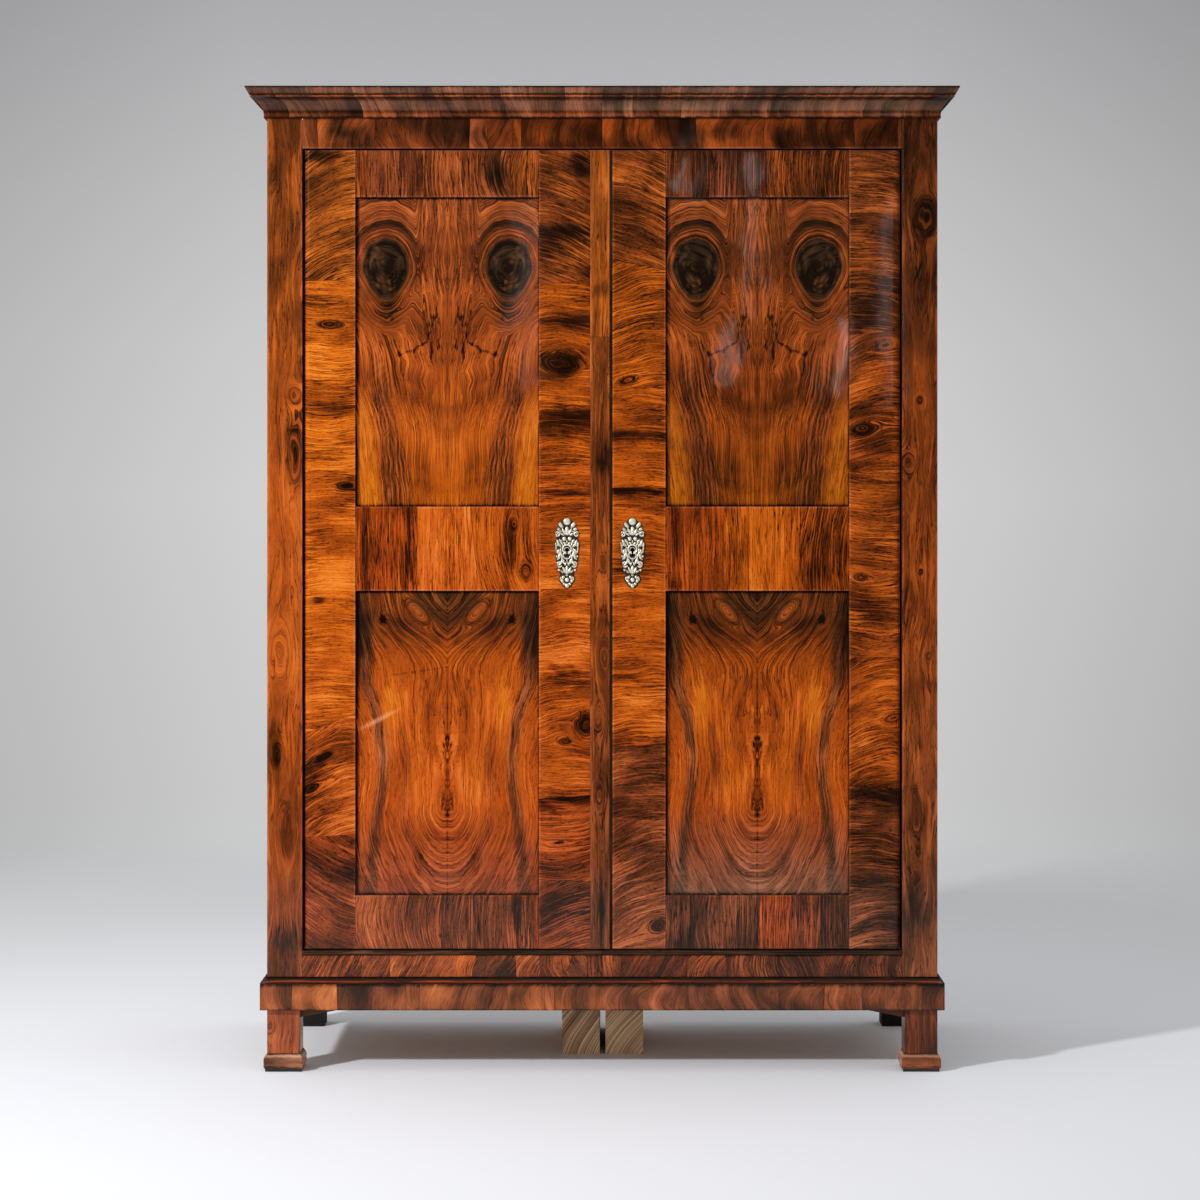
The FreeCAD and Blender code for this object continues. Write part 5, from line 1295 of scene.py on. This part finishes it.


# on the bases: a painted highlight on the upper slope, and dark lines at the shaft and near the foot
baseBands = [(0, 31, 100000, 2.6, 0.36, 0, -0.2, 0.5), (0, 35.5, 100000, 1.2, -0.2, 0.6),
    (0, 7.5, 100000, 2, -0.1, 0.5)]
s = footShape
shaft = [(s["shaftLow"], -0.4)] + [(z, 0.0) for z in np.arange(s["shaftLow"] + 0.4, 123, 4)]
shaft += [(123.0, 0.0), (123.1, -10.0), (175.0, -10.0)]     # the tenon behind the plinth
low, high, reach, (narrow, bevel) = s["baseLow"], s["baseHigh"], s["baseReach"], s["chamfer"]
base = [(low, reach - narrow), (low + bevel, reach)]
base += [(z, reach) for z in np.linspace(low + bevel + 0.5, high - 0.8, 5)]
base += [(high - 0.2, reach - 0.2), (high + 0.5, reach - 0.8)]
# the slope bulges: reach = (reach - 0.6) (1 - t^1.5), t from 0 at the arris to 1 at the shaft
base += [(z, (reach - 0.6) * (1 - ((z - high) / (s["shaftLow"] - high)) ** 1.5))
         for z in np.linspace(high + 1.2, s["shaftLow"], 7)]
basePatches = {"left": (2, 0, 0.65, 0.1, 0.78), "right": (2, 0, 0.5, 0.1, 0.5)}
baseParts = []
for side, sign in sides.items():
    look = footLooks[side]
    makePiece(side + "_front_foot", [footPart(sign, shaft, look)], [plainWalnut, walnutUpright])
    baseParts.append(footPart(sign, base,
                              {**look, "patches": [basePatches[side]], "knots": [], "clouds": baseBands}))
makePiece("foot_bases", baseParts, [burrWalnut, walnutUpright])
print("feet ready")


# key plates: a cast relief, one height field on a grid, the same plate on both doors

plate = {
    "top": 1098, "length": 140, "rise": 4.6, "ground": 1.2, "swell": 1.14, "step": 0.45,
    # half width at each distance below the top
    "outline": [(0, 0.5), (1, 5), (3, 7.6), (6, 9.6), (8, 12.5), (9, 15.2), (13, 18.3), (17, 17.6),
        (20, 19), (25, 22.5), (30, 23.5), (35, 23.2), (39, 20.8), (44, 23.6), (50, 25.4), (55, 25.8),
        (60, 24.6), (64, 22.8), (72, 23), (80, 22.8), (84, 22.4), (90, 20.6), (96, 19.4), (99, 16.7),
        (102, 18.8), (105, 18.2), (108, 14.4), (115, 14.6), (119, 16.2), (124, 16.4), (128, 14),
        (132, 10.8), (136, 8.6), (139, 4.6), (140, 0.5)],
    # domes: distance off the middle, below the top, half width, half height, turn in degrees, rise
    "domes": [(0, 7.5, 7.6, 7.4, 0, 4.2), (12.5, 14, 3.9, 8.6, 38, 3.8), (17.6, 22, 3.6, 6.8, 62, 3.4),
        (0, 26, 4.2, 9, 0, 4.6), (6, 27.5, 2.8, 8, 28, 4), (10, 32, 2.6, 6.6, 55, 3.4),
        (5.5, 41.5, 4.2, 4.4, 0, 4.2), (12, 46.5, 3.2, 6.2, 40, 3.4), (17.5, 50, 3, 8, 20, 3.9),
        (21.8, 54.5, 2.6, 8, 8, 3.2), (12.8, 55.5, 2.4, 6.8, 24, 3.1), (17, 67, 3, 6, -16, 3.6),
        (20.4, 76.5, 2.6, 3.4, 20, 3.3), (18.6, 82, 2.2, 3, -30, 2.9), (0, 83.5, 2.2, 6.5, 0, 3),
        (0, 103, 3.4, 9, 0, 4.2), (5.2, 104, 2.8, 8, 26, 3.8), (9.8, 106.5, 2.4, 6, 48, 3),
        (16, 103.5, 2.9, 2.9, 0, 3.8), (0, 123, 4.4, 4.6, 0, 4.5), (7.6, 118, 3.4, 4.4, -40, 3.6),
        (9.4, 125, 3.4, 4, 20, 3.7), (5.6, 131, 3.4, 3.8, 50, 3.4), (0, 134.5, 4.6, 4.6, 0, 3.9),
        (12.6, 120.5, 2.4, 5, -10, 3.2), (0, 114, 3.4, 2.6, 0, 3), (12.4, 66, 2.2, 7, 6, 3.6),
        (15.2, 76, 3.2, 7.5, -16, 4), (7.6, 85.5, 2.9, 7.5, 24, 4.2), (3, 91.5, 2.2, 4.6, -18, 3.6),
        (10.4, 74.5, 1.9, 5, 30, 3.4), (21.2, 64.5, 2.1, 6, -4, 3.3), (4.4, 50.5, 2.5, 4, 42, 3.8),
        (9.2, 52.5, 2, 5, 30, 3.6), (0, 47.5, 1.8, 4, 0, 3.5)],
    # ridges: arcs of (off, below, radius, from, to, half width, rise), angles from straight down, outwards
    "ridges": [(19, 32, 4.2, 0, 360, 1.9, 4), (0, 62, 8.6, 0, 360, 2, 4.4), (0, 64, 5.4, 0, 360, 1.5, 3),
        (0, 74, 7.2, 0, 360, 1.7, 3.8), (13, 62, 9.5, 20, 175, 1.5, 3.2), (14.8, 92.5, 5, -60, 240, 2, 4.2),
        (27, 80, 17.5, 225, 320, 2.3, 4.2), (8, 39.5, 13.5, 100, 180, 1.4, 3.4),
        (14.8, 92.5, 1.6, 0, 360, 1.5, 3.6)],
}


def plateRelief(x, t):
    # the highest of all domes, rise sqrt(1 - r^2), and all ridges, half round across their arc
    x = np.abs(x)
    height = np.full(x.shape, plate["ground"])
    for cx, ct, a, b, turn, rise in plate["domes"]:
        c, s = math.cos(math.radians(turn)), math.sin(math.radians(turn))
        p, q = (x - cx) * c + (t - ct) * s, -(x - cx) * s + (t - ct) * c
        low = (p / (a * plate["swell"])) ** 2 + (q / (b * plate["swell"])) ** 2
        height = np.maximum(height, rise * np.sqrt(np.clip(1 - low, 0, 1)))
    for cx, ct, radius, start, end, half, rise in plate["ridges"]:
        angle = np.degrees(np.arctan2(x - cx, t - ct))
        inside = ((angle - start) % 360) <= (end - start)
        off = (np.hypot(x - cx, t - ct) - radius) / half
        height = np.maximum(height, inside * rise * np.sqrt(np.clip(1 - off ** 2, 0, 1)))
    return height


def overKeyhole(x, t):
    drop = plate["top"] - keyhole["height"]
    slot = (np.abs(x) < keyhole["slotHalf"]) & (t > drop) & (t < drop + keyhole["slotDrop"])
    return slot | (np.hypot(x, t - drop) < keyhole["radius"])


def keyPlate(name, node, centre, face, body):
    # front: a grid of share across by distance below the top, lifted by the relief; the quads over the
    # keyhole are left out, and walls run back to the flat rear from every open edge
    rows, columns = int(plate["length"] / plate["step"]) + 1, 111
    off = np.linspace(-1, 1, columns)
    t = np.linspace(0, plate["length"], rows)[:, None] + np.zeros(columns)
    x = off[None] * np.interp(t[:, 0], *np.array(plate["outline"], float).T)[:, None]
    height = 0.6 + (plateRelief(x, t) - 0.6) * smooth(1 - np.abs(off), 0.0, 0.05)[None]
    frontPoints, rearPoints = (np.stack([centre + x, face - lift, plate["top"] - t], axis=-1).reshape(-1, 3)
                               for lift in (height, 0 * x))
    total = rows * columns
    number = np.arange(total).reshape(rows, columns)
    quads = np.stack([number[:-1, :-1], number[1:, :-1], number[1:, 1:], number[:-1, 1:]],
                     axis=-1).reshape(-1, 4)
    quads = quads[~overKeyhole(x.ravel()[quads].mean(1), t.ravel()[quads].mean(1))]
    edges = np.concatenate([quads[:, [i, (i + 1) % 4]] for i in range(4)])
    key = np.sort(edges, axis=1)
    _, first, counts = np.unique(key[:, 0] * total + key[:, 1], return_index=True, return_counts=True)
    border = edges[first[counts == 1]]
    walls = np.stack([border[:, 1], border[:, 0], border[:, 0] + total, border[:, 1] + total], axis=1)
    faces = np.concatenate([quads, quads[:, ::-1] + total, walls])
    points = np.concatenate([frontPoints, rearPoints]) * mm
    used, place = np.unique(faces, return_inverse=True)
    mesh = buildMesh(name, points[used], place.ravel(), 4 * np.arange(len(faces)), 50)
    relief = np.concatenate([height.ravel(), 0 * height.ravel()])[used] / plate["rise"]
    mesh.attributes.new("relief", "FLOAT", "POINT").data.foreach_set("value", relief.astype(np.float32))
    return addPiece(name, mesh, body, node, [plateBrass])


for side in sides:
    node = side + "_door_escutcheon"
    box = cadBox(node)
    keyPlate(side + "KeyPlate", node, (box[0] + box[1]) / 2, box[3], side + "_door")
print("key plates ready")


# the nodes that keep their own shape

def runMaterials(node, alongX, alongY):
    # a face lies on a rail that runs front to back where its corners reach further that way than sideways
    mesh = nodes[node].data
    points, corner = np.empty(3 * len(mesh.vertices), np.float32), np.empty(len(mesh.loops), np.int32)
    first = np.empty(len(mesh.polygons), np.int32)
    mesh.vertices.foreach_get("co", points)
    mesh.loops.foreach_get("vertex_index", corner)
    mesh.polygons.foreach_get("loop_start", first)
    places = points.reshape(-1, 3)[corner]
    size = np.maximum.reduceat(places, first) - np.minimum.reduceat(places, first)
    mesh.materials.clear()
    mesh.materials.append(alongX)
    mesh.materials.append(alongY)
    mesh.polygons.foreach_set("material_index", (size[:, 1] > size[:, 0]).astype(np.int32))


kept = {
    "left_partition": pineUpright, "right_partition": pineUpright, "back_boards": backPine,
    "top_boards": pineAcross, "bottom_boards": pineAcross, "shelves": pineAcross, "shelf_bearers": pineDeep,
    "rail_sockets": pineDeep, "hanging_rail": walnutAcross, "foot_pads": ebonised,
    "rear_feet": shadeDarkFoot, "centre_beams": oakBlock, "carcass_hinge_pins": hingeIron,
    "left_door_hinge_plates": hingeIron, "right_door_hinge_plates": hingeIron, "joining_bolts": hingeIron,
    "left_door_lock_case": lockSteel, "right_door_lock_case": lockSteel,
    "left_lock_bolt": lockSteel, "right_lock_bolt": lockSteel,
}
for node, material in kept.items():
    for holder in nodes[node].material_slots:
        holder.material = material
runMaterials("cornice_frame_rails", pineAcross, pineDeep)
runMaterials("plinth_frame_rails", stainedPine, stainedPineDeep)
print("kept nodes dressed:", len(kept) + 2)


# floor, background, light and camera

studio = {
    "floorColour": "f3f6fb", "farFloor": "e2e4e6", "floorSize": 14.0, "floorShade": (0.9, 2.6),
    "floorFade": (2.3, 4.2),
    # greys of the background by the sine of the angle above the horizon
    "wall": [(-0.30, "e6e6ea"), (-0.13, "cbcccd"), (-0.10, "cacaca"), (-0.06, "cccccc"), (0.0, "d0d0d0"),
             (0.05, "cbcbcb"), (0.10, "c0c0c1"), (0.166, "acacae"), (0.5, "707070")],
    # the wall's glow behind the piece: from and to off the middle line of sight, and the share it falls to
    "glow": (0.11, 0.21, 0.78), "glowMiddle": -0.012,
    "skyStrength": 0.60,
    # the room in front, that the polish mirrors: pale floor, dark walls, pale ceiling
    "room": [(-1.0, "8a8a8c"), (-0.45, "6a6a6c"), (-0.3, "2a2a2c"), (0.35, "2a2a2c"), (0.6, "d0d4da"),
             (1.0, "e4e8ee")],
    "key": {"place": (-3.6, -3.6, 3.1), "aim": (0.0, -0.2, 0.95), "size": (0.32, 0.32), "power": 215.0},
}
view = {"distance": 5.84, "height": 1.1434, "focal": 2944.0, "imageWidth": 1200.0, "aside": 0.02,
        "shiftX": -0.0103, "shiftY": -0.0875}
eye = (view["aside"], front * mm - view["distance"], view["height"])
# soft lamps beside the camera that only the polish mirrors: place on the front they show at, and brightness
softLamps = [
    (0.468, 0.009, 1.435, 0.070, 11.0), (0.244, 0.008, 1.436, 0.055, 7.5), (0.300, 0.012, 1.640, 0.120, 3.0),
    (-0.150, 0.016, 1.540, 0.180, 2.0), (0.170, 0.009, 1.785, 0.045, 8.0), (0.290, 0.024, 1.785, 0.040, 4.5),
    (0.575, 0.008, 1.520, 0.200, 4.5),
]


def greyRamp(tree, value, stops):
    low, high = stops[0][0], stops[-1][0]
    share = addNode(tree, "MapRange", (value, low, high))
    return addRamp(tree, share, [((place - low) / (high - low), code) for place, code in stops])


def makeFloor():
    half = studio["floorSize"]
    mesh = bpy.data.meshes.new("studioFloor")
    mesh.from_pydata([(-half, -half, 0), (half, -half, 0), (half, half, 0), (-half, half, 0)], [],
                     [(0, 1, 2, 3)])
    floor = addObject("studioFloor", mesh)
    material, tree = newMaterial("painted studio floor, matt")
    distance = addNode(tree, "VectorMath", (addNode(tree, "TexCoord", out="Object"),), operation="LENGTH",
                       out="Value")
    gone, shade = (addNode(tree, "MapRange", (distance, *studio[key]), interpolation_type="SMOOTHSTEP")
                   for key in ("floorFade", "floorShade"))
    colour = addNode(tree, "Mix",
                     {0: shade, 6: linear(studio["floorColour"]), 7: linear(studio["farFloor"])},
                     out=2, data_type="RGBA")
    paint = addNode(tree, "BsdfDiffuse", {"Color": colour})
    mesh.materials.append(finish(material, (gone, paint, addNode(tree, "BsdfTransparent")), "MixShader"))


def makeWorld():
    world = bpy.data.worlds.new("studio")
    bpy.context.scene.world = world
    world.use_nodes = True
    tree = world.node_tree
    tree.nodes.clear()
    direction = addNode(tree, "TexCoord", out="Generated")
    sideways, _, height = addNode(tree, "SeparateXYZ", (direction,), out=None).outputs
    sideways = addNode(tree, "Math", (sideways, studio["glowMiddle"]), operation="SUBTRACT")
    sideways = addNode(tree, "Math", (sideways,), operation="ABSOLUTE")
    near, far, least = studio["glow"]
    glow = addNode(tree, "MapRange", (sideways, near, far, 1.0, least))
    seen = addNode(tree, "Background", (greyRamp(tree, height, studio["wall"]), glow))
    lit = addNode(tree, "Background", ((1.0, 1.0, 1.0, 1.0), studio["skyStrength"]))
    mirrored = addNode(tree, "Background", (greyRamp(tree, height, studio["room"]), 1.0))
    path = addNode(tree, "LightPath", out=None).outputs
    seenBy = addNode(tree, "Math", (path["Is Camera Ray"], path["Is Transmission Ray"]), operation="MAXIMUM")
    mix = addNode(tree, "MixShader", (path["Is Glossy Ray"], lit, mirrored))
    finish(world, (seenBy, mix, seen), "MixShader", "OutputWorld")


def addLamp(name, place, aim, size, power):
    lamp = bpy.data.lights.new(name, "AREA")
    lamp.shape = "RECTANGLE"
    lamp.size, lamp.size_y = size
    lamp.energy = power
    holder = addObject(name, lamp)
    holder.location = place
    run = np.array(aim) - np.array(place)
    turn = math.atan2(run[0], -run[1]) + math.pi
    holder.rotation_euler = (math.acos(-run[2] / np.linalg.norm(run)), 0.0, turn)
    return holder


def makeLamps():
    addLamp("keyLamp", **studio["key"])
    for i, (x, halfWide, z, halfHigh, glow) in enumerate(softLamps):
        # a mirror in the front plane shows at (x, z) what stands as far off as the camera, on the other side
        place = (2 * x - eye[0], eye[1], 2 * z - eye[2])
        size = (4 * halfWide, 4 * halfHigh)
        holder = addLamp(f"softLamp{i}", place, (place[0], 0.0, place[2]), size,
                         glow * math.pi * size[0] * size[1])
        holder.visible_diffuse = holder.visible_camera = holder.visible_transmission = False


def makeCamera():
    # the lens turns the measured focal length in pixels into millimetres on the sensor
    sensor = 36.0
    data = bpy.data.cameras.new("camera")
    camera = addObject("camera", data)
    data.sensor_width = sensor
    data.lens = sensor * view["focal"] / view["imageWidth"]
    data.shift_x, data.shift_y = view["shiftX"], view["shiftY"]
    data.clip_end = 60.0
    camera.location = eye
    camera.rotation_euler = (math.pi / 2, 0.0, 0.0)
    bpy.context.scene.camera = camera


makeFloor()
makeWorld()
makeLamps()
makeCamera()
bpy.context.scene.view_settings.view_transform = "Standard"
print("studio ready")
